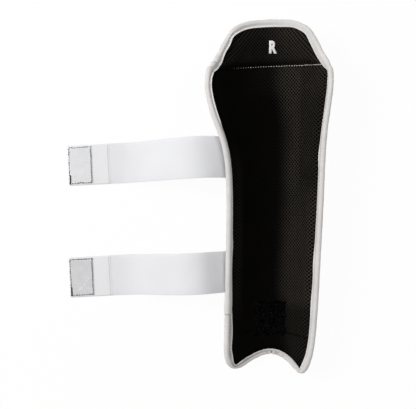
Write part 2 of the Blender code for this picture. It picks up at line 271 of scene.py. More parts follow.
@dataclass(frozen=True)
class Dent:
    """Soft line pressed into a pad."""

    deep: float
    wide: float

    def at(self, away: Array) -> Array:
        """Depth at a distance from the line."""
        return self.deep * bell(away / self.wide)


@dataclass(frozen=True)
class LegForm:
    """How the flat pattern bends round the leg: s across from the spine, p along towards the knee."""

    left: tuple = (
        (-155, 66), (-110, 57), (-60, 51.5), (0, 47.5), (40, 47.4), (62, 53), (84, 67), (105, 76.5),
        (118, 75), (132, 70),
    )
    right: tuple = (
        (-155, 34), (-110, 38), (-60, 40), (0, 42.5), (35, 43.5), (68, 45.5), (95, 49.5), (112, 51.5),
        (132, 50),
    )
    base: float = 5.1
    fold: float = 131.2
    rise: float = math.radians(20.0)
    sewn_lean: float = 0.042
    fold_round: float = 2.0
    fold_gap: float = 0.4
    rim_parts: int = 6
    wing_from: float = 40.0
    low_end: float = -140.0
    shin_rim: tuple = (
        (-70, 129), (-73, 122), (-74.3, 112), (-73, 96), (-67, 69), (-58, 38), (-54, 5), (-53.2, -40),
        (-52.6, -85), (-52, -120), (-51.5, -135), (-49.8, -143), (-45.5, -149.7), (-39, -152.8), (-31, -152),
        (-22, -147.5), (-12, -142.8), (-3, -140.8), (6, -142.6), (14, -147.6), (21, -153.4), (27, -157),
        (32, -156.6), (36.5, -152.5), (40.5, -146.5), (44, -139), (47.5, -126), (50, -108), (53, -80),
        (57, -30), (60.5, 15), (63, 50), (67, 80), (69.5, 100), (70, 114), (69, 122), (66, 128.5),
    )
    knee_rim: tuple = (
        (-71, 1), (-69.5, 5.5), (-66, 9), (-60.5, 13.4), (-53, 22.7), (-45, 32.5), (-37, 38.4), (-25, 41.6),
        (-11, 42.6), (4, 43), (18, 42.6), (28, 40), (36.2, 35.6), (43.8, 27.4), (52, 18), (58, 13.6),
        (64, 9.6), (67, 5.5), (68, 1),
    )

    def radius(self, s: Array, q: Array) -> Array:
        """Bend radius at a flat place."""
        return np.where(s < 0, hermite(self.left, q), hermite(self.right, q))

    def fold_radius(self, s: Array) -> Array:
        """Bend radius along the fold."""
        return self.radius(s, np.full_like(s, self.fold))

    def lean(self, s: Array) -> Array:
        """How far the mitred fold leans back at s."""
        r = self.fold_radius(s)
        return r * (1 - np.cos(s / r)) * math.tan(self.rise / 2)

    def crest(self, s: Array) -> Array:
        """Flat place of the fold at s."""
        return self.fold - self.lean(s)

    def sewn(self, s: Array) -> Array:
        """Flat place of the sewn line, which runs a little askew along the fold."""
        return self.crest(s) + self.sewn_lean * s

    def shin(self, s: Array, p: Array) -> Array:
        """Mid surface of the shin panel."""
        r = self.radius(s, p)
        return np.stack([r * np.sin(s / r), p, self.base + r * (1 - np.cos(s / r))], -1)

    def knee(self, s: Array, p: Array) -> Array:
        """Mid surface of the knee flap, on the same flat pattern.

        Args:
            s: across the pattern.
            p: along the pattern.

        Returns:
            Points in millimetres.
        """
        q = p - self.crest(s) + self.lean(s)
        r = self.fold_radius(s)
        h = r * (1 - np.cos(s / r))
        c, n = math.cos(self.rise), math.sin(self.rise)
        return np.stack([r * np.sin(s / r), self.fold + q * c - h * n, self.base + q * n + h * c], -1)

    def normal(self, surface: Callable[[Array, Array], Array], s: Array, p: Array,
               probe: float = 0.05) -> Array:
        """Unit normal of one panel, towards the leg.

        Args:
            surface: the panel's mid surface.
            s: across the pattern.
            p: along the pattern.
            probe: how far to each side the surface is read.

        Returns:
            One direction for each place.
        """
        across = surface(s + probe, p) - surface(s - probe, p)
        along = surface(s, p + probe) - surface(s, p - probe)
        return unit(np.cross(across, along))

    def place(self, s: Array, p: Array, d: Array | float) -> Array:
        """Where a flat point lies.

        Args:
            s: across the pattern.
            p: along the pattern.
            d: height above the mid surface, towards the leg.

        Returns:
            Points in millimetres.
        """
        s, p, d = np.broadcast_arrays(np.asarray(s, float), np.asarray(p, float), np.asarray(d, float))
        past = p - self.crest(s)
        turn = ramp(past, -self.fold_round, 2 * self.fold_round)[..., None]
        up = unit(self.normal(self.shin, s, p) * (1 - turn) + self.normal(self.knee, s, p) * turn)
        mid = np.where((past > 0)[..., None], self.knee(s, p), self.shin(s, p))
        return mid + up * d[..., None]

    def outline(self, step: float) -> Array:
        """Closed rim of both panels on the flat pattern.

        Args:
            step: spacing of its points.

        Returns:
            Flat points, anticlockwise from the left end of the fold.
        """
        low = spline(self.shin_rim, self.rim_parts)
        low = low[low[:, 1] < self.crest(low[:, 0]) - self.fold_gap]
        top = spline(self.knee_rim, self.rim_parts)
        top = top[top[:, 1] > self.lean(top[:, 0]) + self.fold_gap]
        top[:, 1] += self.crest(top[:, 0]) - self.lean(top[:, 0])
        loop = np.vstack([low, top[::-1]])
        length = np.linalg.norm(loop - np.roll(loop, 1, 0), axis=1).sum()
        loop = resample(loop, int(length / step), True)
        for _ in range(2):
            loop = loop * 0.5 + (np.roll(loop, 1, 0) + np.roll(loop, -1, 0)) * 0.25
        return loop

    def rim_s(self, q: Array, wing: Wing) -> Array:
        """Flat s of the rim at places along the shin, on one wing.

        Args:
            q: places along the shin.
            wing: which side.

        Returns:
            One s for each place.
        """
        line = spline(self.shin_rim, self.rim_parts)
        side = line[(np.sign(line[:, 0]) == wing.value) & (np.abs(line[:, 0]) > self.wing_from)
                    & (line[:, 1] > self.low_end)]
        side = side[np.argsort(side[:, 1])]
        return np.interp(q, side[:, 1], side[:, 0])


FORM = LegForm()


def inward(loop: Array) -> Array:
    """Flat directions that point into an anticlockwise loop."""
    run = unit(np.roll(loop, -1, 0) - np.roll(loop, 1, 0))
    return np.stack([-run[:, 1], run[:, 0]], 1)


def ring(loop: Array, far: float, slack: float = 0.05) -> Array:
    """Loop moved inwards, without the points that crowd at tight corners."""
    moved = loop + inward(loop) * far
    return moved[line_distance(moved, loop) > far - slack]


# Meshes


def make_piece(name: str, verts: Array, faces: Sequence[Sequence[int]], uv: Array | None = None,
               turn_out: bool = True) -> Object:
    """Adds a smooth mesh object at the origin.

    Args:
        name: the piece's name.
        verts: points in millimetres.
        faces: corner numbers.
        uv: flat place of each point in millimetres.
        turn_out: whether to turn the faces outwards.

    Returns:
        The new object.
    """
    mesh = bpy.data.meshes.new(name)
    mesh.from_pydata((np.asarray(verts) * MM).tolist(), [], [tuple(int(k) for k in f) for f in faces])
    if uv is not None:
        layer = mesh.uv_layers.new(name="Pattern")
        corner = np.empty(len(mesh.loops), np.int32)
        mesh.loops.foreach_get("vertex_index", corner)
        layer.data.foreach_set("uv", (np.asarray(uv)[corner] * MM).astype(np.float32).ravel())
    if turn_out:
        work = bmesh.new()
        work.from_mesh(mesh)
        bmesh.ops.recalc_face_normals(work, faces=work.faces)
        work.to_mesh(mesh)
        work.free()
    mesh.polygons.foreach_set("use_smooth", np.ones(len(mesh.polygons), bool))
    piece = bpy.data.objects.new(name, mesh)
    bpy.context.scene.collection.objects.link(piece)
    return piece


def note(piece: Object, name: str, values: Array) -> None:
    """Keeps one number for each point of a piece, for its material to read."""
    held = piece.data.attributes.new(name, "FLOAT", "POINT")
    held.data.foreach_set("value", np.asarray(values, np.float32).ravel())


def grid_solid(top: Array, bottom: Array) -> tuple[Array, list]:
    """Closed solid between two equal grids of points.

    Args:
        top: rows by columns of points.
        bottom: the same on the other side.

    Returns:
        Points and faces.
    """
    rows, cols = top.shape[:2]
    index = np.arange(rows * cols).reshape(rows, cols)
    quads = np.stack([index[:-1, :-1], index[:-1, 1:], index[1:, 1:], index[1:, :-1]], -1).reshape(-1, 4)
    under = rows * cols
    border = np.concatenate([index[0], index[1:, -1], index[-1, -2::-1], index[-2:0:-1, 0]])
    after = np.roll(border, -1)
    sides = np.stack([after, border, border + under, after + under], 1)
    faces = np.vstack([quads, quads[:, ::-1] + under, sides])
    return np.vstack([top.reshape(-1, 3), bottom.reshape(-1, 3)]), faces.tolist()


def sheet_solid(tris: Array, top: Array, bottom: Array) -> tuple[Array, list]:
    """Closed solid between two sheets of the same triangles.

    Args:
        tris: corner numbers.
        top: points of one sheet.
        bottom: points of the other.

    Returns:
        Points and faces.
    """
    count = len(top)
    ends = np.vstack([tris[:, [0, 1]], tris[:, [1, 2]], tris[:, [2, 0]]])
    there = {tuple(e) for e in ends.tolist()}
    sides = [(b, a, a + count, b + count) for a, b in there if (b, a) not in there]
    return np.vstack([top, bottom]), tris.tolist() + (tris[:, ::-1] + count).tolist() + sides


def ring_sweep(sections: Array) -> tuple[Array, list]:
    """Closed tube of closed sections.

    Args:
        sections: rings by section points.

    Returns:
        Points and faces.
    """
    rings, size = sections.shape[:2]
    index = np.arange(rings * size).reshape(rings, size)
    after, beside = np.roll(index, -1, 0), np.roll(index, -1, 1)
    corner = np.roll(after, -1, 1)
    return sections.reshape(-1, 3), np.stack([index, beside, corner, after], -1).reshape(-1, 4).tolist()


@dataclass
class FlatPattern:
    """Triangles over the whole flat pattern, with rows of points along the fold and along any seams.

    The shares are parts of a step.
    """

    step: float
    inset: float
    rings: tuple[float, ...]
    fold_rows: tuple[float, ...] = (0.0,)
    seams: Sequence[Array] = ()
    seam_rows: tuple[float, ...] = (-1.6, -0.8, 0.0, 0.8, 1.6)
    half_width: float = 80.0
    reach: tuple[float, float] = (-300.0, 50.0)
    finest_rim: float = 2.0
    clear_share: float = 0.4
    ring_share: float = 0.7
    row_share: float = 0.75
    row_gap: float = 0.8
    weld: float = 0.0005

    def __post_init__(self) -> None:
        """Cuts the pattern."""
        self.rim = FORM.outline(min(self.step, self.finest_rim))
        edge = ring(self.rim, self.inset)
        loose = [self.on_ring(far) for far in self.rings]
        loose.append(self.on_grid(max(self.rings) + self.step * self.ring_share))
        points = np.vstack([edge] + loose)
        count = len(edge)
        sides = [(k, (k + 1) % count) for k in range(count)]
        made = delaunay_2d_cdt([Vector(p) for p in points], sides, [], 0, self.weld)
        self.points = np.array([tuple(p) for p in made[0]])
        tris = np.array([tuple(f) for f in made[2]])
        self.tris = tris[loop_holds(self.points[tris].mean(1), edge)]
        self.away = line_distance(self.points, self.rim)

    def off_fold(self, points: Array) -> Array:
        """Points that lie clear of the rows along the fold."""
        clear = max(np.abs(self.fold_rows)) + self.step * self.clear_share
        return points[np.abs(points[:, 1] - FORM.sewn(points[:, 0])) > clear]

    def on_ring(self, far: float) -> Array:
        """Points on one inset ring, clear of the fold."""
        return self.off_fold(ring(self.rim, far))

    def on_grid(self, clear: float) -> Array:
        """Points on rows that follow the fold, and the rows along the fold and the seams.

        Args:
            clear: how far in from the rim the grid and the seams' rows stay.

        Returns:
            Flat points.
        """
        s = np.arange(-self.half_width, self.half_width, self.step)
        k = np.arange(self.reach[0] / self.step, self.reach[1] / self.step).round() * self.step
        grid_s, grid_p = np.meshgrid(s, k)
        grid_s = grid_s + (np.arange(len(k)) % 2)[:, None] * self.step / 2
        grid = self.off_fold(np.stack([grid_s.ravel(), (grid_p + FORM.sewn(grid_s)).ravel()], 1))
        grid = grid[loop_holds(grid, self.rim)]
        grid = grid[line_distance(grid, self.rim) > clear]
        s = np.arange(-self.half_width, self.half_width, self.step * self.row_share)
        rows = np.vstack([np.stack([s, FORM.sewn(s) + k], 1) for k in self.fold_rows])
        rows = rows[loop_holds(rows, self.rim)]
        found = [rows[line_distance(rows, self.rim) > self.inset + self.row_gap]]
        for seam in self.seams:
            wide = max(self.seam_rows) + self.step * self.clear_share
            grid = grid[line_distance(grid, seam, False) > wide]
            across = unit(np.gradient(seam, axis=0))[:, ::-1] * (-1, 1)
            rows = np.vstack([seam + across * k for k in self.seam_rows])
            found.append(rows[line_distance(rows, self.rim) > clear])
        return np.vstack([grid] + found)

    def solid(self, low: Array | float, high: Array | float) -> tuple[Array, list, Array]:
        """Closed solid between two heights.

        Args:
            low: height of each point's underside.
            high: height of each point's top.

        Returns:
            Points, faces and the flat place of each point.
        """
        s, p = self.points.T
        verts, faces = sheet_solid(self.tris, FORM.place(s, p, high), FORM.place(s, p, low))
        used = np.zeros(len(verts), bool)
        for first in (0, len(s)):
            used[self.tris.ravel() + first] = True
        number = np.cumsum(used) - 1
        faces = [[int(number[k]) for k in f] for f in faces]
        return verts[used], faces, np.vstack([self.points, self.points])[used]


# Bent threads, hooks and loops by Geometry Nodes


class NodePen:
    """Short way to place and join nodes in one tree."""

    def __init__(self, tree: NodeTree) -> None:
        """Keeps the tree."""
        self.tree = tree

    def add(self, kind: str, inputs: dict | None = None, **settings: object) -> Node:
        """Places a node.

        Args:
            kind: the node's type name.
            inputs: socket name or number to a value or an output socket.
            settings: properties of the node.

        Returns:
            The node.
        """
        node = self.tree.nodes.new(kind)
        for key, value in settings.items():
            setattr(node, key, value)
        self.fill(node, inputs or {})
        return node

    def fill(self, node: Node, inputs: dict) -> None:
        """Gives a node's sockets their values and links.

        Args:
            node: the node.
            inputs: socket name or number to a value or an output socket.
        """
        for key, value in inputs.items():
            if isinstance(value, NodeSocket):
                self.tree.links.new(value, node.inputs[key])
            else:
                node.inputs[key].default_value = value

    def math(self, operation: str, *values: object) -> NodeSocket:
        """Result of a Math node."""
        node = self.add("ShaderNodeMath", dict(enumerate(values)), operation=operation)
        return node.outputs[0]

    def seen_directly(self) -> NodeSocket:
        """Mask of the rays from the eye, from gloss and through glass.

        Returns:
            The mask.
        """
        ray = self.add("ShaderNodeLightPath").outputs
        mirrored = self.math("MAXIMUM", ray["Is Glossy Ray"], ray["Is Transmission Ray"])
        return self.math("MAXIMUM", ray["Is Camera Ray"], mirrored)


@dataclass(frozen=True)
class Thread:
    """One bent thread: the ends and middle of its bow and half its thickness, in millimetres."""

    start: tuple[float, float, float]
    middle: tuple[float, float, float]
    end: tuple[float, float, float]
    radius: float
    steps: int = 4
    sides: int = 5

    @classmethod
    def stitch(cls, half: float, dip: float, rise: float, radius: float, steps: int = 4,
               sides: int = 5) -> "Thread":
        """Even stitch of a half length, whose ends dip into the cloth and whose middle is drawn up."""
        return cls((-half, 0, -dip), (0, 0, rise), (half, 0, -dip), radius, steps, sides)


RIM_STITCH = Thread.stitch(1.1, 0.15, 0.3, 0.2)
FOLD_STITCH = Thread.stitch(0.62, 0.35, 0.85, 0.42, 5, 6)
SEAM_STITCH = Thread.stitch(0.85, 0.1, 0.35, 0.26)
ROOT_STITCH = Thread.stitch(0.8, 0.12, 0.45, 0.22)
HOOK_STITCH = Thread.stitch(0.62, 0.35, 0.75, 0.46, 5, 6)
PATCH_PILE = Thread((-0.5, 0, -0.1), (0.1, 0, 1.5), (0.55, 0, 0.0), 0.09, 4, 3)
LOOP_PILE = Thread((-0.5, 0, -0.1), (0.1, 0, 1.3), (0.5, 0, 0.0), 0.08, 4, 3)
HOOK = Thread((-0.1, 0, 0), (0.0, 0, 1.35), (0.42, 0, 0.42), 0.11, 5, 4)


class ThreadTree:
    """Geometry Nodes tree that sets one bent thread on every point, turned by the point's own directions."""

    SOCKETS = (("Start", "NodeSocketVector"), ("Middle", "NodeSocketVector"), ("End", "NodeSocketVector"),
               ("Thread radius", "NodeSocketFloat"), ("Steps", "NodeSocketInt"), ("Sides", "NodeSocketInt"),
               ("Finish", "NodeSocketMaterial"))

    def __init__(self) -> None:
        """Builds the tree."""
        tree = bpy.data.node_groups.new("Bent thread on points", "GeometryNodeTree")
        face = tree.interface
        face.new_socket("Points", in_out="INPUT", socket_type="NodeSocketGeometry")
        for name, kind in self.SOCKETS:
            face.new_socket(name, in_out="INPUT", socket_type=kind)
        face.new_socket("Threads", in_out="OUTPUT", socket_type="NodeSocketGeometry")
        pen = NodePen(tree)
        given = pen.add("NodeGroupInput").outputs
        bow = pen.add("GeometryNodeCurveQuadraticBezier", {
            "Resolution": given["Steps"], "Start": given["Start"], "Middle": given["Middle"],
            "End": given["End"]})
        section = pen.add("GeometryNodeCurvePrimitiveCircle", {
            "Resolution": given["Sides"], "Radius": given["Thread radius"]})
        thread = pen.add("GeometryNodeCurveToMesh", {
            "Curve": bow.outputs[0], "Profile Curve": section.outputs[0], "Fill Caps": True})
        run = pen.add("GeometryNodeInputNamedAttribute", {"Name": "run"}, data_type="FLOAT_VECTOR")
        up = pen.add("GeometryNodeInputNamedAttribute", {"Name": "up"}, data_type="FLOAT_VECTOR")
        size = pen.add("GeometryNodeInputNamedAttribute", {"Name": "size"}, data_type="FLOAT")
        turn = pen.add("FunctionNodeAlignRotationToVector", {"Vector": run.outputs[0]}, axis="X")
        turn = pen.add("FunctionNodeAlignRotationToVector", {
            "Rotation": turn.outputs[0], "Vector": up.outputs[0]}, axis="Z", pivot_axis="X")
        put = pen.add("GeometryNodeInstanceOnPoints", {
            "Points": given["Points"], "Instance": thread.outputs[0], "Rotation": turn.outputs[0],
            "Scale": size.outputs[0]})
        real = pen.add("GeometryNodeRealizeInstances", {"Geometry": put.outputs[0]})
        even = pen.add("GeometryNodeSetShadeSmooth", {"Geometry": real.outputs[0]})
        dressed = pen.add("GeometryNodeSetMaterial", {
            "Geometry": even.outputs[0], "Material": given["Finish"]})
        pen.add("NodeGroupOutput", {"Threads": dressed.outputs[0]})
        self.tree = tree

    def grow(self, name: str, thread: Thread, finish: Material, spots: Array, runs: Array, ups: Array,
             sizes: Array | None = None) -> Object:
        """Makes one piece of threads.

        Args:
            name: the piece's name.
            thread: the thread's shape.
            finish: its material.
            spots: points in millimetres.
            runs: direction of each thread.
            ups: direction each thread bows to.
            sizes: size of each thread, 1 where none is given.

        Returns:
            A plain mesh object.
        """
        source = make_piece(name + "_points", spots, [], turn_out=False)
        for label, values in (("run", unit(runs)), ("up", unit(ups))):
            held = source.data.attributes.new(label, "FLOAT_VECTOR", "POINT")
            held.data.foreach_set("vector", np.asarray(values, np.float32).ravel())
        note(source, "size", np.ones(len(spots)) if sizes is None else sizes)
        modifier = source.modifiers.new("Threads", "NODES")
        modifier.node_group = self.tree
        bow = (thread.start, thread.middle, thread.end)
        values = dict(zip(("Start", "Middle", "End"), ([x * MM for x in p] for p in bow)))
        values.update({"Thread radius": thread.radius * MM, "Steps": thread.steps, "Sides": thread.sides,
                       "Finish": finish})
        for item in self.tree.interface.items_tree:
            if item.in_out == "INPUT" and item.name in values:
                modifier[item.identifier] = values[item.name]
        bpy.context.view_layer.update()
        graph = bpy.context.evaluated_depsgraph_get()
        mesh = bpy.data.meshes.new_from_object(source.evaluated_get(graph))
        source.modifiers.remove(modifier)
        bpy.data.objects.remove(source)
        for label in ("run", "up", "size"):
            if label in mesh.attributes:
                mesh.attributes.remove(mesh.attributes[label])
        mesh.name = name
        piece = bpy.data.objects.new(name, mesh)
        bpy.context.scene.collection.objects.link(piece)
        return piece


# Finishes


class SharedEffects:
    """Shader node groups that several finishes use."""

    FINE_SCALE = 22.0

    def __init__(self) -> None:
        """Builds each group once."""
        self.weave = self.make_weave()
        self.mottle = self.make_mottle()

    def group(self, name: str, inputs: Sequence[tuple], outputs: Sequence[str]) -> NodePen:
        """Starts a group.

        Args:
            name: the group's name.
            inputs: pairs of socket name and kind.
            outputs: names of its value sockets.

        Returns:
            A pen on the new tree.
        """
        tree = bpy.data.node_groups.new(name, "ShaderNodeTree")
        for label, kind in inputs:
            tree.interface.new_socket(label, in_out="INPUT", socket_type=kind)
        for label in outputs:
            tree.interface.new_socket(label, in_out="OUTPUT", socket_type="NodeSocketFloat")
        return NodePen(tree)

    def make_weave(self) -> NodeTree:
        """Threads over and under, from flat coordinates and two pitches in metres.

        Returns:
            The group.
        """
        pen = self.group("Woven threads", (("Vector", "NodeSocketVector"), ("Warp pitch", "NodeSocketFloat"),
                                           ("Weft pitch", "NodeSocketFloat")), ("Height",))
        given = pen.add("NodeGroupInput").outputs
        flat = pen.add("ShaderNodeSeparateXYZ", {0: given["Vector"]}).outputs
        u = pen.math("MULTIPLY", pen.math("DIVIDE", flat[0], given["Warp pitch"]), math.tau)
        v = pen.math("MULTIPLY", pen.math("DIVIDE", flat[1], given["Weft pitch"]), math.tau)
        cross = pen.math("MULTIPLY", pen.math("SINE", u), pen.math("SINE", v))
        height = pen.math("MULTIPLY_ADD", cross, 0.5, 0.5)
        pen.add("NodeGroupOutput", {"Height": height})
        return pen.tree

    def make_mottle(self) -> NodeTree:
        """Slow and fine unevenness of cloth, from object coordinates.

        Returns:
            The group.
        """
        pen = self.group("Cloth unevenness", (("Vector", "NodeSocketVector"), ("Scale", "NodeSocketFloat")),
                         ("Slow", "Fine"))
        given = pen.add("NodeGroupInput").outputs
        slow = pen.add("ShaderNodeTexNoise", {
            "Vector": given["Vector"], "Scale": given["Scale"], "Detail": 3.0})
        quick = pen.math("MULTIPLY", given["Scale"], self.FINE_SCALE)
        fine = pen.add("ShaderNodeTexNoise", {"Vector": given["Vector"], "Scale": quick, "Detail": 4.0})
        pen.add("NodeGroupOutput", {"Slow": slow.outputs[0], "Fine": fine.outputs[0]})
        return pen.tree


class ClothPen(NodePen):
    """Pen on a material, with the slow and fine unevenness of its cloth."""

    def __init__(self, tree: NodeTree, effects: SharedEffects, scale: float) -> None:
        """Places the unevenness.

        Args:
            tree: the material's tree.
            effects: the shared groups.
            scale: how close the unevenness is.
        """
        super().__init__(tree)
        self.effects = effects
        place = self.add("ShaderNodeTexCoord").outputs["Object"]
        cloth = self.add("ShaderNodeGroup", {"Vector": place, "Scale": scale}, node_tree=effects.mottle)
        self.slow, self.fine = cloth.outputs["Slow"], cloth.outputs["Fine"]

    def flat(self) -> NodeSocket:
        """Place on the flat pattern."""
        return self.add("ShaderNodeUVMap", uv_map="Pattern").outputs[0]


class Pattern(NamedTuple):
    """Pattern of a finish: the mask between its two colours, and its height and depth."""

    mask: NodeSocket
    height: NodeSocket
    depth_mm: float


@dataclass(frozen=True)
class Finish:
    """A cloth, plastic or thread: its colour, its unevenness and its pattern."""

    name: str
    colour: tuple[float, float, float]
    shade: tuple[float, float, float]
    roughness: float
    mottle_scale: float = 40.0
    grain: float = 0.15
    bump_mm: float = 0.05
    sheen: float = 0.0
    specular: float = 0.35
    sheen_roughness: float = 0.5
    rough_range: float = 0.16

    def mix(self, pen: NodePen, factor: NodeSocket, low: object, high: object) -> NodeSocket:
        """Two colours, or colour sockets, mixed by a mask."""
        return pen.add("ShaderNodeMix", {0: factor, 6: low, 7: high}, data_type="RGBA").outputs[2]

    def tone(self, pen: NodePen, factor: NodeSocket) -> NodeSocket:
        """The finish's two colours mixed by a mask."""
        return self.mix(pen, factor, (*self.shade, 1), (*self.colour, 1))

    def pattern(self, pen: ClothPen) -> Pattern:
        """Plain unevenness."""
        mask = pen.math("MULTIPLY_ADD", pen.fine, self.grain * 2, pen.math("SUBTRACT", pen.slow, self.grain))
        return Pattern(mask, pen.fine, self.bump_mm)

    def build(self, effects: SharedEffects) -> Material:
        """Makes the material.

        Args:
            effects: the shared groups.

        Returns:
            The material.
        """
        material = bpy.data.materials.new(self.name)
        material.use_nodes = True
        pen = ClothPen(material.node_tree, effects, self.mottle_scale)
        mask, height, depth_mm = self.pattern(pen)
        bump = pen.add("ShaderNodeBump", {"Height": height, "Distance": depth_mm * MM, "Strength": 1.0})
        rough = pen.math("MULTIPLY_ADD", pen.fine, self.rough_range, self.roughness - self.rough_range / 2)
        pen.fill(material.node_tree.nodes["Principled BSDF"], {
            "Base Color": self.tone(pen, mask), "Roughness": rough, "Normal": bump.outputs[0],
            "Specular IOR Level": self.specular, "Sheen Weight": self.sheen,
            "Sheen Roughness": self.sheen_roughness})
        return material


@dataclass(frozen=True)
class WovenFinish(Finish):
    """Cloth with crossing threads on its flat pattern."""

    warp: float = 0.6
    weft: float = 0.6
    thread_mm: float = 0.12
    mask_gain: float = 1.6
    mask_drop: float = -0.1
    fuzz_share: float = 0.35

    def pattern(self, pen: ClothPen) -> Pattern:
        """Crossing threads.

        Args:
            pen: pen on the material.

        Returns:
            The pattern.
        """
        pitches = {"Vector": pen.flat(), "Warp pitch": self.warp * MM, "Weft pitch": self.weft * MM}
        weave = pen.add("ShaderNodeGroup", pitches, node_tree=pen.effects.weave).outputs[0]
        mask = pen.math("MULTIPLY_ADD", weave, self.grain, pen.math("MULTIPLY", pen.slow, 1 - self.grain))
        mask = pen.math("MULTIPLY_ADD", mask, self.mask_gain, self.mask_drop)
        return Pattern(mask, pen.math("MULTIPLY_ADD", pen.fine, self.fuzz_share, weave), self.thread_mm)


@dataclass(frozen=True)
class TapeFinish(WovenFinish):
    """Binding tape, browner in its sewn groove from grime and painted shade, with a painted highlight along
    its inner edge.
    """

    # Brown for grime and painted shade: in the sewn groove, in the arch's wrinkles and on the step of the
    # overlap.
    grime_and_shade: tuple[float, float, float] = (0.20, 0.165, 0.14)
    # Near white painted highlight along the tape's inner edge.
    edge: tuple[float, float, float] = (0.92, 0.915, 0.91)

    def tone(self, pen: NodePen, factor: NodeSocket) -> NodeSocket:
        """The two colours mixed by a mask, then the painted highlight at the edge and the grime and painted
        shade by their attributes.

        Args:
            pen: pen on the material.
            factor: the mask.

        Returns:
            The mixed colour.
        """
        tone = super().tone(pen, factor)
        # The painted highlight first, then the grime and painted shade, each by its attribute.
        for name, colour in (("EdgeHighlight", self.edge), ("GrimeAndShade", self.grime_and_shade)):
            held = pen.add("ShaderNodeAttribute", attribute_name=name).outputs["Fac"]
            tone = self.mix(pen, held, tone, (*colour, 1))
        return tone


@dataclass(frozen=True)
class WaffleFinish(Finish):
    """Black lining mesh: a net of raised diagonal threads round diamond pits."""

    pitch: float = 3.4
    pit_mm: float = 0.55
    thread_round: float = 0.5
    thread_fine: float = 6.0
    fuzz: float = 0.5
    fuzz_share: float = 0.2

    def pattern(self, pen: ClothPen) -> Pattern:
        """Net of threads, lightened by the painted light that the lining holds.

        Args:
            pen: pen on the material.

        Returns:
            The pattern.
        """
        st = pen.add("ShaderNodeSeparateXYZ", {0: pen.flat()}).outputs
        turn = math.tau / (self.pitch * MM)
        rise = pen.math("MULTIPLY", pen.math("ADD", st[0], st[1]), turn)
        fall = pen.math("MULTIPLY", pen.math("SUBTRACT", st[0], st[1]), turn)
        net = pen.math("SMOOTH_MAX", pen.math("COSINE", rise), pen.math("COSINE", fall), self.thread_round)
        net = pen.math("MULTIPLY_ADD", net, 0.5, 0.5)
        fuzz = pen.math("MULTIPLY_ADD", pen.fine, self.fuzz, -self.fuzz / 2)
        mask = pen.math("MULTIPLY", pen.math("POWER", net, self.thread_fine), pen.math("ADD", pen.slow, 0.5))
        # Painted light and shade, held on the lining's points.
        painted_light_share = pen.add("ShaderNodeAttribute", attribute_name="Fade").outputs["Fac"]
        mask = pen.math("MULTIPLY", pen.math("ADD", mask, fuzz), painted_light_share)
        return Pattern(mask, pen.math("MULTIPLY_ADD", pen.fine, self.fuzz_share, net), self.pit_mm)


@dataclass(frozen=True)
class FinishSet:
    """Every finish on the guard."""

    waffle: WaffleFinish = WaffleFinish(
        "lining_waffle", (0.062, 0.0528, 0.0435), (0.0011, 0.001, 0.0009), 0.85, mottle_scale=30,
        specular=0.01)
    tape: TapeFinish = TapeFinish(
        "binding_tape", (0.70, 0.68, 0.66), (0.54, 0.52, 0.505), 0.75, mottle_scale=60, grain=0.35, sheen=0.1,
        specular=0.2, warp=0.8, weft=0.8, thread_mm=0.1)
    elastic: WovenFinish = WovenFinish(
        "strap_elastic", (0.735, 0.735, 0.755), (0.66, 0.66, 0.685), 0.8, mottle_scale=30, grain=0.4,
        sheen=0.1, specular=0.2, warp=0.9, weft=1.4, thread_mm=0.12)
    tab: WovenFinish = WovenFinish(
        "tab_cloth", (0.765, 0.765, 0.775), (0.70, 0.70, 0.71), 0.75, mottle_scale=45, grain=0.3, sheen=0.1,
        specular=0.2, warp=0.7, weft=0.7, thread_mm=0.09)
    cover: Finish = Finish(
        "cover_coated_cloth", (0.80, 0.80, 0.79), (0.72, 0.72, 0.71), 0.5, mottle_scale=90, grain=0.3,
        bump_mm=0.08)
    plate: Finish = Finish(
        "plate_moulded", (0.82, 0.82, 0.82), (0.77, 0.77, 0.775), 0.36, mottle_scale=120, grain=0.2,
        bump_mm=0.02, specular=0.5)
    hook: Finish = Finish(
        "hook_tape", (0.77, 0.77, 0.78), (0.66, 0.66, 0.67), 0.5, mottle_scale=160, grain=0.4, bump_mm=0.1)
    # Darker copy of the hook tape, painted shade for the lower strap.
    hook_painted_shade: Finish = Finish(
        "hook_tape_painted_shade", (0.69, 0.69, 0.70), (0.56, 0.56, 0.57), 0.5, mottle_scale=160, grain=0.4,
        bump_mm=0.1)
    loop: Finish = Finish(
        "loop_pile", (0.85, 0.85, 0.84), (0.73, 0.73, 0.73), 0.9, mottle_scale=200, grain=0.5, bump_mm=0.2,
        sheen=0.2)
    black_loop: Finish = Finish(
        "black_pile", (0.0010, 0.0010, 0.0010), (0.0002, 0.0002, 0.0002), 0.9, mottle_scale=200, grain=0.5,
        bump_mm=0.2, specular=0.0)
    pile_tip: Finish = Finish(
        "black_pile_tip", (0.016, 0.015, 0.016), (0.0002, 0.0002, 0.0002), 0.8, mottle_scale=90, grain=0.7,
        bump_mm=0.1, specular=0.1)
    white_thread: Finish = Finish(
        "white_thread", (0.8, 0.8, 0.79), (0.66, 0.66, 0.66), 0.6, mottle_scale=300, grain=0.3, bump_mm=0.03)
    dark_thread: Finish = Finish(
        "dark_thread", (0.085, 0.078, 0.085), (0.02, 0.018, 0.02), 0.7, mottle_scale=300, grain=0.4,
        bump_mm=0.03, specular=0.1)
    seam_thread: Finish = Finish(
        "seam_thread", (0.5, 0.5, 0.51), (0.36, 0.36, 0.37), 0.6, mottle_scale=300, grain=0.3, bump_mm=0.03)
    mark: Finish = Finish(
        "side_mark_print", (0.82, 0.82, 0.82), (0.74, 0.74, 0.74), 0.55, mottle_scale=300, grain=0.3,
        bump_mm=0.02)

    def build(self) -> dict[str, Material]:
        """Makes every material, by field name."""
        effects = SharedEffects()
        return {key: getattr(self, key).build(effects) for key in self.__dataclass_fields__}


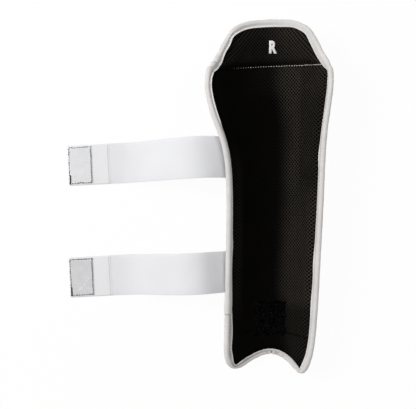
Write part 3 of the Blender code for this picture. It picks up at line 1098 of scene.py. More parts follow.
@dataclass(frozen=True)
class Kit:
    """What every sub-assembly works with: the materials and the thread tree."""

    finishes: dict[str, Material]
    threads: ThreadTree

    def dress(self, piece: Object, finish: str, slot: str) -> None:
        """Gives a piece its material, if it has none.

        Args:
            piece: the piece.
            finish: name of its finish.
            slot: not used.
        """
        if not piece.data.materials:
            piece.data.materials.append(self.finishes[finish])

    def sew(self, name: str, thread: Thread, finish: str, slot: str, spots: Array, runs: Array, ups: Array,
            sizes: Array | None = None) -> Object:
        """Makes and dresses one piece of threads.

        Args:
            name: the piece's name.
            thread: the thread's shape.
            finish: name of its finish.
            slot: passed on to dress.
            spots: points in millimetres.
            runs: direction of each thread.
            ups: direction each thread bows to.
            sizes: size of each thread, 1 where none is given.

        Returns:
            The piece.
        """
        piece = self.threads.grow(name, thread, self.finishes[finish], spots, runs, ups, sizes)
        self.dress(piece, finish, slot)
        return piece


# Sub-assemblies


CLOTH_INSET = 1.3
TAPE_UNDER = 6.2
SEAM_PINCH = 1.2


def bend(piece: Object) -> None:
    """Bakes a piece's place into its mesh.

    Args:
        piece: the piece.
    """
    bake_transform(piece)


@dataclass
class Lining:
    """Black waffle lining over its foam, closed to the cover at the rim."""

    kit: Kit
    step: float = 1.6
    rings: tuple = (5.2, 6.2, 7.2, 8.4, 9.8, 11.4, 13.2, 15.2, 17.4)
    fold_rows: tuple = (-4.6, -3.4, -2.4, -1.6, -0.9, 0.0, 0.8, 1.8, 3.2, 5.0, 7.2)
    underside: float = 0.15
    crown: float = 5.7
    shoulder: float = 10.0
    fold_below: tuple[float, float] = (0.9, 3.6)
    fold_above: tuple[float, float] = (0.5, 7.0)
    crease_s: float = 30.5
    wing_dent: Dent = Dent(0.9, 1.2)
    wing_stretch: Stretch = Stretch(8, 20, 122, 12)
    seam_p: float = -118.6
    seam_half: float = 50.0
    seam_step: float = 1.2
    seam_dent: Dent = Dent(1.3, 0.8)
    # Painted shade along the low seam's crease.
    seam_painted_shade: Dent = Dent(0.75, 0.7)
    slant_dent: Dent = Dent(0.4, 0.9)
    slant_stretch: Stretch = Stretch(-92, 8, -62, 8)
    # Where the painted light on the right wing begins along the shin and how far it takes to come up; more of
    # it near the right rim and on the left wing.
    painted_light_from: tuple = ((-155, 3), (-110, 3), (-76, -2), (-24, 1), (46, 3.5), (80, 1.5), (112, -5), (132, -6))
    painted_light_over: float = 22.0
    rim_band: float = 17.0
    left_stretch: Stretch = Stretch(-110, 30, 60, 30)
    pressure: float = 4.0
    cloth_frames: int = 20
    cloth_quality: int = 4
    puff_cap: float = 0.6
    skin_points: int = 3
    skin_soft: float = 1e-3
    skin: KDTree = field(init=False)
    skin_high: Array = field(init=False)

    def pad_height(self, s: Array, p: Array, away: Array) -> Array:
        """Height of the lining over the mid surface.

        Args:
            s: across the pattern.
            p: along the pattern.
            away: distance from the rim.

        Returns:
            Heights in millimetres.
        """
        past = p - FORM.sewn(s)
        below, above = self.fold_below, self.fold_above
        rim = np.clip((away - TAPE_UNDER) / self.shoulder, 0, 1)
        fold = np.clip(np.where(past < 0, (-past - below[0]) / below[1], (past - above[0]) / above[1]), 0, 1)
        swell = np.sin(np.minimum(rim, fold) * math.pi / 2)
        height = SEAM_PINCH + self.crown * swell
        height -= self.wing_dent.at(s - self.wing_crease(p)) * self.wing_stretch.at(p) * swell
        height -= self.seam_dent.at(p - self.low_seam(s)) * swell * self.seam_shows(s)
        height -= self.slant_dent.at(s - self.slant(p)) * self.slant_stretch.at(p)
        return height

    def wing_crease(self, p: Array) -> Array:
        """Flat s of the soft crease down the right wing."""
        return self.crease_s - (p - 66) * 0.01

    def slant(self, p: Array) -> Array:
        """Flat s of the short slanting crease above the brushed patch."""
        return -2.5 + (p + 77) * 0.23

    def low_seam(self, s: Array) -> Array:
        """Flat p of the seam across the low end, which drops towards the right wing."""
        return self.seam_p - 0.15 * np.maximum(s - 8, 0)

    def seam_shows(self, s: Array) -> Array:
        """Where the low seam is drawn tight: on both wings, and slack under the brushed patch."""
        return 0.2 + 0.8 * ramp(np.abs(s + 3), 14, 6)

    def fade(self, s: Array, p: Array) -> Array:
        """Painted light on the lining's threads, on the right wing and the flap, with painted shade in the
        hollow and along the low seam.

        Args:
            s: across the pattern.
            p: along the pattern.

        Returns:
            One share for each place.
        """
        creased = ramp(p, self.wing_stretch.start, self.wing_stretch.rise)
        # Painted light across the right wing, where the left wing's shadow ends; less right of the wing
        # crease, more near the right rim.
        wing = ramp(s, hermite(self.painted_light_from, p), self.painted_light_over)
        wing *= 1 - 0.32 * creased * ramp(s, self.crease_s, 1.5)
        wing *= 1 + 0.2 * (1 - creased) * ramp(s, FORM.rim_s(p, Wing.RIGHT) - self.rim_band, 8)
        # Painted light of the shin, dimmer towards its low end, lighter on the left wing and near the top.
        shin = 0.04 + 0.51 * wing * (1 - 0.55 * ramp(p, -84, -16)) * (1 + 0.15 * ramp(p, 60, 50))
        shin += 0.09 * ramp(s, -34, -8) * self.left_stretch.at(p)
        shin += 0.10 * ramp(p, 92, 25) * ramp(s, -45, 50)
        # Painted shade along the low seam.
        shin *= 1 - self.seam_painted_shade.at(p - self.low_seam(s)) * self.seam_shows(s)
        # Painted light across the flap, lighter to the right.
        flap = 0.27 + 0.32 * ramp(s, -12, 30)
        return np.where(p > FORM.sewn(s), flap, shin)

    def sewn_down(self, cut: FlatPattern) -> Array:
        """How firmly each point of the lining is held: at the tape, the fold and the low seam.

        Args:
            cut: the lining's flat pattern.

        Returns:
            One share for each point.
        """
        s, p = cut.points.T
        held = np.clip(1.5 - (cut.away - TAPE_UNDER) / 2.0, 0, 1)
        held = np.maximum(held, np.abs(p - FORM.sewn(s)) < 1.0)
        return np.maximum(held, (np.abs(p - self.low_seam(s)) < 0.5) * self.seam_shows(s))

    def puffed(self, cut: FlatPattern, high: Array) -> Array:
        """Lining after a short cloth run that fills it between its sewn lines.

        Args:
            cut: the lining's flat pattern.
            high: height of each point before.

        Returns:
            Height of each point after.
        """
        s, p = cut.points.T
        start = FORM.place(s, p, high)
        up = unit(FORM.place(s, p, high + 1.0) - start)
        sheet = make_piece("lining_cloth", start, cut.tris, turn_out=False)
        held = self.sewn_down(cut)
        pins = sheet.vertex_groups.new(name="sewn")
        for k in np.flatnonzero(held > 0):
            pins.add([int(k)], float(held[k]), "REPLACE")
        cloth = sheet.modifiers.new("Puff", "CLOTH")
        cloth.settings.quality = self.cloth_quality
        cloth.settings.vertex_group_mass = "sewn"
        cloth.settings.use_pressure = True
        cloth.settings.uniform_pressure_force = self.pressure
        cloth.settings.effector_weights.gravity = 0.0
        scene = bpy.context.scene
        for frame in range(1, self.cloth_frames + 1):
            scene.frame_set(frame)
        shape = sheet.evaluated_get(bpy.context.evaluated_depsgraph_get()).to_mesh()
        end = np.empty(len(shape.vertices) * 3, np.float32)
        shape.vertices.foreach_get("co", end)
        moved = ((end.reshape(-1, 3) / MM - start) * up).sum(1)
        LOG.info("cloth run: middle %.2f mm, most %.2f mm", np.median(moved), moved.max())
        bpy.data.objects.remove(sheet)
        scene.frame_set(1)
        return high + np.clip(moved, 0.0, self.puff_cap)

    def skin_height(self, s: Array, p: Array) -> Array:
        """Height of the lining's face at flat places, between its nearest points.

        Args:
            s: across the pattern.
            p: along the pattern.

        Returns:
            Heights in millimetres.
        """
        found = []
        for place in zip(np.ravel(s), np.ravel(p)):
            near = self.skin.find_n((*place, 0.0), self.skin_points)
            weight = [1 / (away + self.skin_soft) for _, _, away in near]
            found.append(sum(w * self.skin_high[k] for w, (_, k, _) in zip(weight, near)) / sum(weight))
        return np.reshape(found, np.shape(s))

    def build(self) -> None:
        """Makes the lining and keeps its face for what lies on it."""
        across = np.arange(-self.seam_half, self.seam_half, self.seam_step)
        seam = np.stack([across, self.low_seam(across)], 1)
        cut = FlatPattern(self.step, CLOTH_INSET, self.rings, self.fold_rows, (seam,))
        s, p = cut.points.T
        high = self.puffed(cut, self.pad_height(s, p, cut.away))
        self.skin = KDTree(len(s))
        for k in range(len(s)):
            self.skin.insert((s[k], p[k], 0.0), k)
        self.skin.balance()
        self.skin_high = high
        verts, faces, flat = cut.solid(self.underside, high)
        piece = make_piece("waffle_lining", verts, faces, flat)
        # Painted light and shade for the waffle's threads.
        note(piece, "Fade", self.fade(*flat.T))
        self.kit.dress(piece, "waffle", "liner")
        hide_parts("shin_liner", "knee_liner", "shin_foam", "knee_foam")
        bend(piece)
        LOG.info("lining")


@dataclass
class Cover:
    """White coated cover on the outside."""

    kit: Kit
    step: float = 4.0
    rings: tuple = (5.0, 9.0)
    outer: float = -1.0
    inner: float = -0.05

    def build(self) -> None:
        """Makes the cover."""
        cut = FlatPattern(self.step, CLOTH_INSET, self.rings)
        piece = make_piece("outer_cover", *cut.solid(self.outer, self.inner))
        self.kit.dress(piece, "cover", "cover")
        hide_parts("shin_cover", "knee_cover")
        bend(piece)
        LOG.info("cover")


@dataclass
class Binding:
    """White tape folded over the rim, with its two rows of stitches.

    The section's points run from the inner edge of the leg side, over the rim and round the outside.
    """

    kit: Kit
    step: float = 0.9
    reach: float = 6.7
    left_trim: float = 0.6
    left_stretch: Stretch = Stretch(-104, 10, 120, 10)
    neck_trim: float = 1.4
    neck_stretch: Stretch = Stretch(62, 14, 124, 8)
    reach_bumps: tuple = (
        (-70, 133, 2.2, 5.0), (-72, 126, -1.2, 3.5), (66, 131.5, 1.5, 2.4), (68.5, 126, -2.6, 3.4),
        (68.5, 119, -1.2, 5.0), (-56, 142, -1.5, 9.0), (-46, 158, -1.6, 7.0), (-44, 160, -0.8, 22.0),
        (24, 172, -0.8, 10.0), (36, 163, -1.0, 9.0), (-53, -38, 1.0, 9.0), (-53, -84, 0.9, 13.0),
        (-52, -118, 1.2, 11.0), (-51, -141, 1.0, 6.0), (-40, -153, -2.4, 7.0), (-3, -141, -1.6, 20.0),
        (29, -157, -1.5, 7.0),
    )
    neck_creases: tuple = (
        (-63.8, 131.6, -1.5, 1.3), (-67, 128.5, 0.5, 3.0), (-60.5, 135, 0.4, 3.0), (67.5, 127.5, -0.7, 1.8),
    )
    right_swells: tuple = (
        (44, 0.75, 9.0), (-90, 0.75, 14.0), (-52, 0.7, 12.0), (110, -0.6, 14.0), (77, -0.3, 12.0),
    )
    lap_stretch: Stretch = Stretch(-100.4, 0.4, -78, 18)
    side_from: float = 30.0
    arch: tuple[float, float, float] = (1.0, -142.0, 9.0)
    lip: tuple = (
        (0.0, 1.6), (0.12, 2.15), (-0.10, 2.8), (-0.5, 3.1), (-0.95, 2.9), (-1.3, 2.3), (-1.75, 2.0),
    )
    flat_lip: tuple = (1.6, 2.05, 2.35, 2.52, 2.62, 2.68, 2.72)
    roll: tuple = (
        (3.2, 2.66), (2.3, 2.76), (1.45, 2.5), (0.75, 1.95), (0.22, 1.1), (0.0, 0.15), (0.15, -0.75),
        (0.65, -1.5), (1.5, -2.0), (2.7, -2.15), (3.9, -2.05), (4.5, -1.8), (5.0, -1.92), (5.6, -1.7),
    )
    inner: tuple = ((5.5, -1.15), (3.0, -1.1), (1.1, -1.1), (0.85, 0.0), (1.1, 1.25), (3.0, 1.3))
    lip_swell: tuple = (0, 0.7, 1, 1, 0.8, 0.4, 0.1)
    thread_pitch: float = 0.6
    stitch_gap: float = 3.0
    inner_row: float = 1.65
    outer_row: float = 4.5
    inner_lift: float = 2.0
    outer_lift: float = -1.86

    def leg_reach(self, rim: Array) -> Array:
        """How far the tape's inner leg reaches in from the rim, wider at the necks and tight at the lobes.

        Args:
            rim: flat points of the rim.

        Returns:
            One length for each point.
        """
        s, p = rim.T
        left = ramp(s, -38, -8)
        trim = self.left_trim * self.left_stretch.at(p) + self.neck_trim * self.neck_stretch.at(p)
        return self.reach - left * trim + bumps(rim, self.reach_bumps)

    def on_left(self, rim: Array) -> Array:
        """Whether each place is on the left side."""
        return rim[:, 0] < -self.side_from

    def denser(self, rim: Array) -> Array:
        """Rim with more points at the step of the overlap.

        Args:
            rim: flat points of the rim.

        Returns:
            The rim's points.
        """
        lap = self.lap_stretch.start + self.lap_stretch.rise / 2
        near = np.flatnonzero(self.on_left(rim) & (np.abs(rim[:, 1] - lap) < 2.0))
        more = np.linspace(rim[near[0]], rim[near[-1]], 4 * len(near))
        return np.vstack([rim[:near[0]], more, rim[near[-1] + 1:]])

    def lap(self, rim: Array) -> Array:
        """Where the tape's end overlaps its start, low on the left side."""
        return np.where(self.on_left(rim), self.lap_stretch.at(rim[:, 1]), 0.0)

    def swell(self, rim: Array, along: Array) -> Array:
        """How far the tape stands proud along the rim: puckers, the overlap of its ends, neck creases.

        Args:
            rim: flat points of the rim.
            along: distance round the rim of each.

        Returns:
            One height for each point.
        """
        puckers = 0.10 * np.sin(along / 1.15 + 1.6 * np.sin(along / 5.3)) + 0.10 * np.sin(along / 3.1 + 0.7)
        creases = bumps(rim, self.neck_creases) + 0.4 * self.arch_wrinkles(rim, along)
        return puckers + self.lap(rim) + creases

    def section(self, rim: Array, along: Array) -> tuple[Array, Array]:
        """Section of the folded tape at places along the rim.

        Args:
            rim: flat points of the rim.
            along: distance round the rim of each.

        Returns:
            How far in from the rim, and how high, each section point is.
        """
        leg = self.leg_reach(rim)[:, None]
        lip, roll, inner = np.array(self.lip), np.array(self.roll), np.array(self.inner)
        plain = np.array(self.flat_lip)
        ones = np.ones_like(leg)
        room = np.minimum(1.0, (leg - 2.4) / 3.6)
        top = np.where(np.arange(len(roll)) < 5, room, 1.0) * roll[:, 0]
        far = np.hstack([leg + lip[:, 0], top, ones * inner[:, 0], leg - 0.1])
        groove = (self.grooved(rim) * (1 - 0.9 * self.lap(rim)))[:, None]
        crest = plain + groove * (lip[:, 1] - plain) + self.bulge(rim)[:, None] * self.lip_swell
        high = np.hstack([crest, ones * roll[:, 1], ones * inner[:, 1], ones * 1.4])
        hidden = np.zeros(len(inner) + 1)
        swelled = np.sin(np.linspace(0.5, math.pi, len(roll))) ** 0.5
        proud = np.concatenate([np.full(len(lip), 0.25), swelled, hidden])
        push = proud[None] * self.swell(rim, along)[:, None]
        edge = np.concatenate([np.zeros(len(lip)), np.cos(np.linspace(-1.2, 1.6, len(roll))) ** 2, hidden])
        return far - push * edge[None], high + push * (1 - edge[None]) * np.sign(high)

    def upper(self, rim: Array) -> Array:
        """Where the rim is above the upper strap."""
        return ramp(rim[:, 1], 64, 12)

    def grooved(self, rim: Array) -> Array:
        """How deep the sewn groove is: full at the left neck, the flap's left and the low rim."""
        s, p = rim.T
        return np.maximum(ramp(s, 14, -30) * self.upper(rim), ramp(p, -94, -8) * ramp(s, 44, -14))

    def bulge(self, rim: Array) -> Array:
        """How far the tape's inner side swells: up at the left neck, and unevenly on the right.

        Args:
            rim: flat points of the rim.

        Returns:
            One height for each point.
        """
        s, p = rim.T
        more = 0.9 * ramp(s, -30, -20) * self.upper(rim)
        for at, deep, wide in self.right_swells:
            more = more + np.where(s > self.side_from, deep * bell((p - at) / wide), 0.0)
        return more

    def on_section(self, first: int, shares: Sequence[float], size: int) -> Array:
        """Shares given to some neighbouring points of the section, and 0 to the rest.

        Args:
            first: number of the first such point.
            shares: their shares.
            size: points in the section.

        Returns:
            One share for each section point.
        """
        found = np.zeros(size)
        found[first:first + len(shares)] = shares
        return found[None]

    def grime_and_shade(self, rim: Array, along: Array, size: int) -> Array:
        """How much grime and painted shade the tape holds: both in its sewn groove, painted shade in the
        arch's wrinkles and under its overlap.

        Args:
            rim: flat points of the rim.
            along: distance round the rim of each.
            size: points in the section.

        Returns:
            One share for each point of the tape.
        """
        low = ramp(rim[:, 1], -60, -60) * ramp(rim[:, 0], 10, -12) * (1 - self.lap(rim))
        patchy = 0.75 + 0.25 * np.sin(along / 3.7 + 2.0 * np.sin(along / 11.0))
        # Grime and painted shade in the sewn groove, heavier towards the low end and patchy along the rim.
        held = self.grooved(rim) * (0.2 + 0.7 * low * patchy)
        # Painted shade on the step where the tape's end overlaps.
        step = bell((rim[:, 1] - self.lap_stretch.start + 0.6) / 0.5) * self.on_left(rim)
        # Painted shade in the arch's wrinkles.
        wrinkled = np.clip(-2.2 * self.arch_wrinkles(rim, along) - 0.35, 0, 1)
        return np.maximum.reduce([
            held[:, None] * self.on_section(4, (0.1, 0.6, 0.9, 0.25), size),
            step[:, None] * self.on_section(7, (0.6,) * 9, size),
            wrinkled[:, None] * self.on_section(5, (0.3, 0.8, 1.0, 0.9, 0.5), size),
        ])

    def edge_highlight(self, rim: Array, size: int) -> Array:
        """Painted highlight on the tape's inner lip, on the upper part of the rim and along the right side.
        """
        highlight_where = np.maximum(self.upper(rim), ramp(rim[:, 0], self.side_from, 15))
        return highlight_where[:, None] * self.on_section(0, (0.6, 1.0, 1.0, 1.0, 0.7, 0.3), size)

    def arch_wrinkles(self, rim: Array, along: Array) -> Array:
        """Gathers where the tape turns round the arch.

        Args:
            rim: flat points of the rim.
            along: distance round the rim of each.

        Returns:
            One height for each point.
        """
        s, p, wide = self.arch
        arch = bumps(rim, ((s, p, 1.0, wide),))
        return arch * np.sin(along * 2.1 + 2.0 * np.sin(along / 2.2))

    def sew_rim(self, name: str, leg_side: bool, lift: float) -> None:
        """Row of stitches along the binding.

        Args:
            name: the piece's name.
            leg_side: whether the row is on the leg side.
            lift: height over the mid surface.
        """
        rim = FORM.outline(self.stitch_gap)
        deep = self.leg_reach(rim) - self.inner_row if leg_side else np.full(len(rim), self.outer_row)
        rise = lift + 0.6 * (1 - self.grooved(rim)) if leg_side else np.full(len(rim), lift)
        s, p = (rim + inward(rim) * deep[:, None]).T
        spots = FORM.place(s, p, rise)
        over = FORM.place(s, p, rise + (1 if leg_side else -1))
        runs = np.roll(spots, -1, 0) - np.roll(spots, 1, 0)
        bend(self.kit.sew(name, RIM_STITCH, "white_thread", "binding", spots, runs, over - spots))

    def build(self) -> None:
        """Makes the tape and its stitches."""
        rim = self.denser(FORM.outline(self.step))
        into = inward(rim)
        run = line_run(rim)
        far, high = self.section(rim, run)
        size = far.shape[1]
        s = rim[:, :1] + into[:, :1] * far
        p = rim[:, 1:] + into[:, 1:] * far
        flat = np.stack([np.repeat(run, size), np.tile(np.arange(size) * self.thread_pitch, len(rim))], 1)
        piece = make_piece("edge_binding", *ring_sweep(FORM.place(s, p, high)), flat)
        # Grime with painted shade, and the painted highlight, for the tape's material to read.
        note(piece, "GrimeAndShade", self.grime_and_shade(rim, run, size))
        note(piece, "EdgeHighlight", self.edge_highlight(rim, size))
        self.kit.dress(piece, "tape", "binding")
        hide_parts("shin_binding", "knee_binding")
        bend(piece)
        self.sew_rim("binding_stitches_inner", True, self.inner_lift)
        self.sew_rim("binding_stitches_outer", False, self.outer_lift)
        LOG.info("binding")


@dataclass
class LiningTrim:
    """What lies on the lining: the stitches of the fold, the brushed patch and the side mark."""

    kit: Kit
    lining: Lining
    fold_half: float = 60.0
    fold_gap: float = 2.55
    tight_from: float = 30.0
    tight_gap: float = 1.5
    patch: tuple[float, float, float, float] = (-20.0, 14.0, -122.0, -90.0)
    patch_points: int = 30
    patch_thick: float = 0.5
    pile_count: int = 1000
    pile_stray: float = 1.6
    pile_seed: int = 7
    mark_size: tuple[float, float] = (8.4, 11.9)
    mark_at: tuple[float, float] = (-0.6, 18.4)

    def fold_stitches(self) -> None:
        """White stitches along the fold, on the lining."""
        s = np.concatenate([np.arange(-self.fold_half, self.tight_from, self.fold_gap),
                            np.arange(self.tight_from + 0.4, self.fold_half, self.tight_gap)])
        tight = ramp(s, self.tight_from - 0.5, 2)
        p = FORM.sewn(s) - 1.3 + 0.5 * tight
        lift = SEAM_PINCH - 0.4 + 1.3 * ramp(s, -self.fold_half, 36) - 0.35 * tight
        spots = FORM.place(s, p, lift)
        over = FORM.place(s, p + 0.5, lift + 1.0)
        sizes = np.where(s < self.tight_from, 0.6 + 0.4 * ramp(s, -30, 50), 0.62)
        piece = self.kit.sew("fold_stitches", FOLD_STITCH, "white_thread", "white_thread", spots,
                             np.gradient(spots, axis=0), over - spots, sizes)
        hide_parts("fold_stitch")
        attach(piece, "shin")

    def inside_patch(self) -> None:
        """Brushed black patch low on the lining, with its frayed edge."""
        left, right, low, high = self.patch
        count = self.patch_points
        s, p = np.meshgrid(np.linspace(left, right, count), np.linspace(low, high, count))
        ground = self.lining.skin_height(s, p)
        s = s + 0.7 * np.sin(p / 1.9) * ((s < left + 1) | (s > right - 1))
        p = p + 0.7 * np.sin(s / 2.3) * ((p < low + 1) | (p > high - 1))
        edge = np.minimum.reduce([s - left, right - s, p - low, high - p])
        top = FORM.place(s, p, ground + 0.05 + self.patch_thick * ramp(edge, 0.0, 3.0))
        piece = make_piece("inside_patch", *grid_solid(top, FORM.place(s, p, ground - 0.3)))
        self.kit.dress(piece, "black_loop", "black_loop")
        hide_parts("liner_loop_patch")
        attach(piece, "shin")

    def patch_pile(self) -> None:
        """Pile of the brushed patch, straying a little past its edge."""
        left, right, low, high = self.patch
        chance = np.random.default_rng(self.pile_seed)
        flat = (self.pile_count, 2)
        spot = chance.uniform((left - 0.5, low - 0.5), (right + 0.5, high + 0.5), flat)
        s, p = (spot + chance.normal(0, self.pile_stray, flat)).T
        ground = self.lining.skin_height(s, p)
        base = FORM.place(s, p, ground + self.patch_thick)
        over = FORM.place(s, p, ground + self.patch_thick + 1.0)
        runs = chance.normal(size=base.shape)
        pile = self.kit.sew("inside_patch_pile", PATCH_PILE, "pile_tip", "black_loop", base, runs,
                            over - base, chance.uniform(0.7, 1.3, self.pile_count))
        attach(pile, "shin")

    def letter(self) -> tuple[Array, Array]:
        """Flat triangles of a plain block letter, about 1 high.

        Returns:
            Flat points and corner numbers.
        """
        text = bpy.data.curves.new("side_mark", "FONT")
        text.body = "R"
        text.align_x = "CENTER"
        text.size = 1.0
        text.offset = 0.05
        text.resolution_u = 6
        holder = bpy.data.objects.new("side_mark_text", text)
        bpy.context.scene.collection.objects.link(holder)
        bpy.context.view_layer.update()
        mesh = bpy.data.meshes.new_from_object(holder.evaluated_get(bpy.context.evaluated_depsgraph_get()))
        bpy.data.objects.remove(holder)
        work = bmesh.new()
        work.from_mesh(mesh)
        bmesh.ops.triangulate(work, faces=work.faces)
        bmesh.ops.subdivide_edges(work, edges=work.edges, cuts=2, use_grid_fill=True)
        bmesh.ops.triangulate(work, faces=work.faces)
        flat = np.array([v.co[:2] for v in work.verts])
        tris = np.array([[v.index for v in f.verts] for f in work.faces])
        work.free()
        bpy.data.meshes.remove(mesh)
        return flat, tris

    def side_mark(self) -> None:
        """Plain block letter that tells the right guard from the left, printed on the flap."""
        flat, tris = self.letter()
        low, high = flat.min(0), flat.max(0)
        flat = (flat - (low + high) / 2) / (high - low) * self.mark_size
        s = flat[:, 0] + self.mark_at[0]
        p = flat[:, 1] + FORM.fold + self.mark_at[1]
        ground = self.lining.skin_height(s, p)
        solid = sheet_solid(tris, FORM.place(s, p, ground + 0.22), FORM.place(s, p, ground - 0.2))
        piece = make_piece("side_mark", *solid)
        self.kit.dress(piece, "mark", "white_thread")
        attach(piece, "knee_flap")

    def build(self) -> None:
        """Makes the pieces in order."""
        for step in (self.fold_stitches, self.inside_patch, self.patch_pile, self.side_mark):
            step()
            LOG.info("trim: %s", step.__name__)


@dataclass
class Plates:
    """Hard plates on the outside, with a flat-topped rib on the shin plate."""

    kit: Kit
    half: float = 26.0
    rib: float = 11.0
    rib_ease: float = 2.2
    inner: float = -1.3
    outer: float = -3.5
    edge_round: float = 1.6
    edge_drop: float = 1.1
    end_taper: float = 0.28
    groove: Dent = Dent(0.5, 0.9)
    groove_s: float = 19.0
    columns: int = 61
    crowding: float = 0.82
    shin_span: tuple[float, float] = (-116.0, 108.0)
    knee_span: tuple[float, float] = (9.0, 33.0)
    shin_rows: int = 160
    knee_rows: int = 40

    def plate(self, name: str, span: tuple[float, float], rows: int, land: bool) -> Object:
        """One plate with eased edges.

        Args:
            name: the piece's name.
            span: lowest and highest flat place along the guard.
            rows: steps along it.
            land: whether its rib is cut flat.

        Returns:
            The piece.
        """
        v = np.linspace(0, 1, rows)
        quarter = math.pi / 2 * self.crowding
        c = np.sin(np.linspace(-1, 1, self.columns) * quarter) / math.sin(quarter)
        half = self.half * (1 - self.end_taper * np.abs(2 * v - 1) ** 6)
        s = c[None] * half[:, None]
        p = np.broadcast_to((span[0] + (span[1] - span[0]) * v)[:, None], s.shape)
        edge = np.minimum(half[:, None] - np.abs(s), np.minimum(p - span[0], span[1] - p))
        ease = self.edge_drop * (1 - rounded(edge, self.edge_round))
        groove = self.groove.at(np.abs(s) - self.groove_s) * ramp(edge, 4, 3)
        outer = FORM.place(s, p, self.outer + ease + groove)
        if land:
            flat = ramp(np.abs(s), self.rib + self.rib_ease, -self.rib_ease)
            flat = flat * ramp(edge, 0.0, self.edge_round)
            outer[..., 2] = outer[..., 2] * (1 - flat)
        piece = make_piece(name, *grid_solid(FORM.place(s, p, self.inner), outer))
        self.kit.dress(piece, "plate", "plate")
        return piece

    def build(self) -> None:
        """Makes both plates."""
        shin = self.plate("shin_plate_moulded", self.shin_span, self.shin_rows, True)
        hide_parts("shin_plate")
        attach(shin, "shin")
        span = (FORM.fold + self.knee_span[0], FORM.fold + self.knee_span[1])
        knee = self.plate("knee_plate_moulded", span, self.knee_rows, False)
        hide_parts("knee_plate")
        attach(knee, "knee_flap")
        LOG.info("plates")


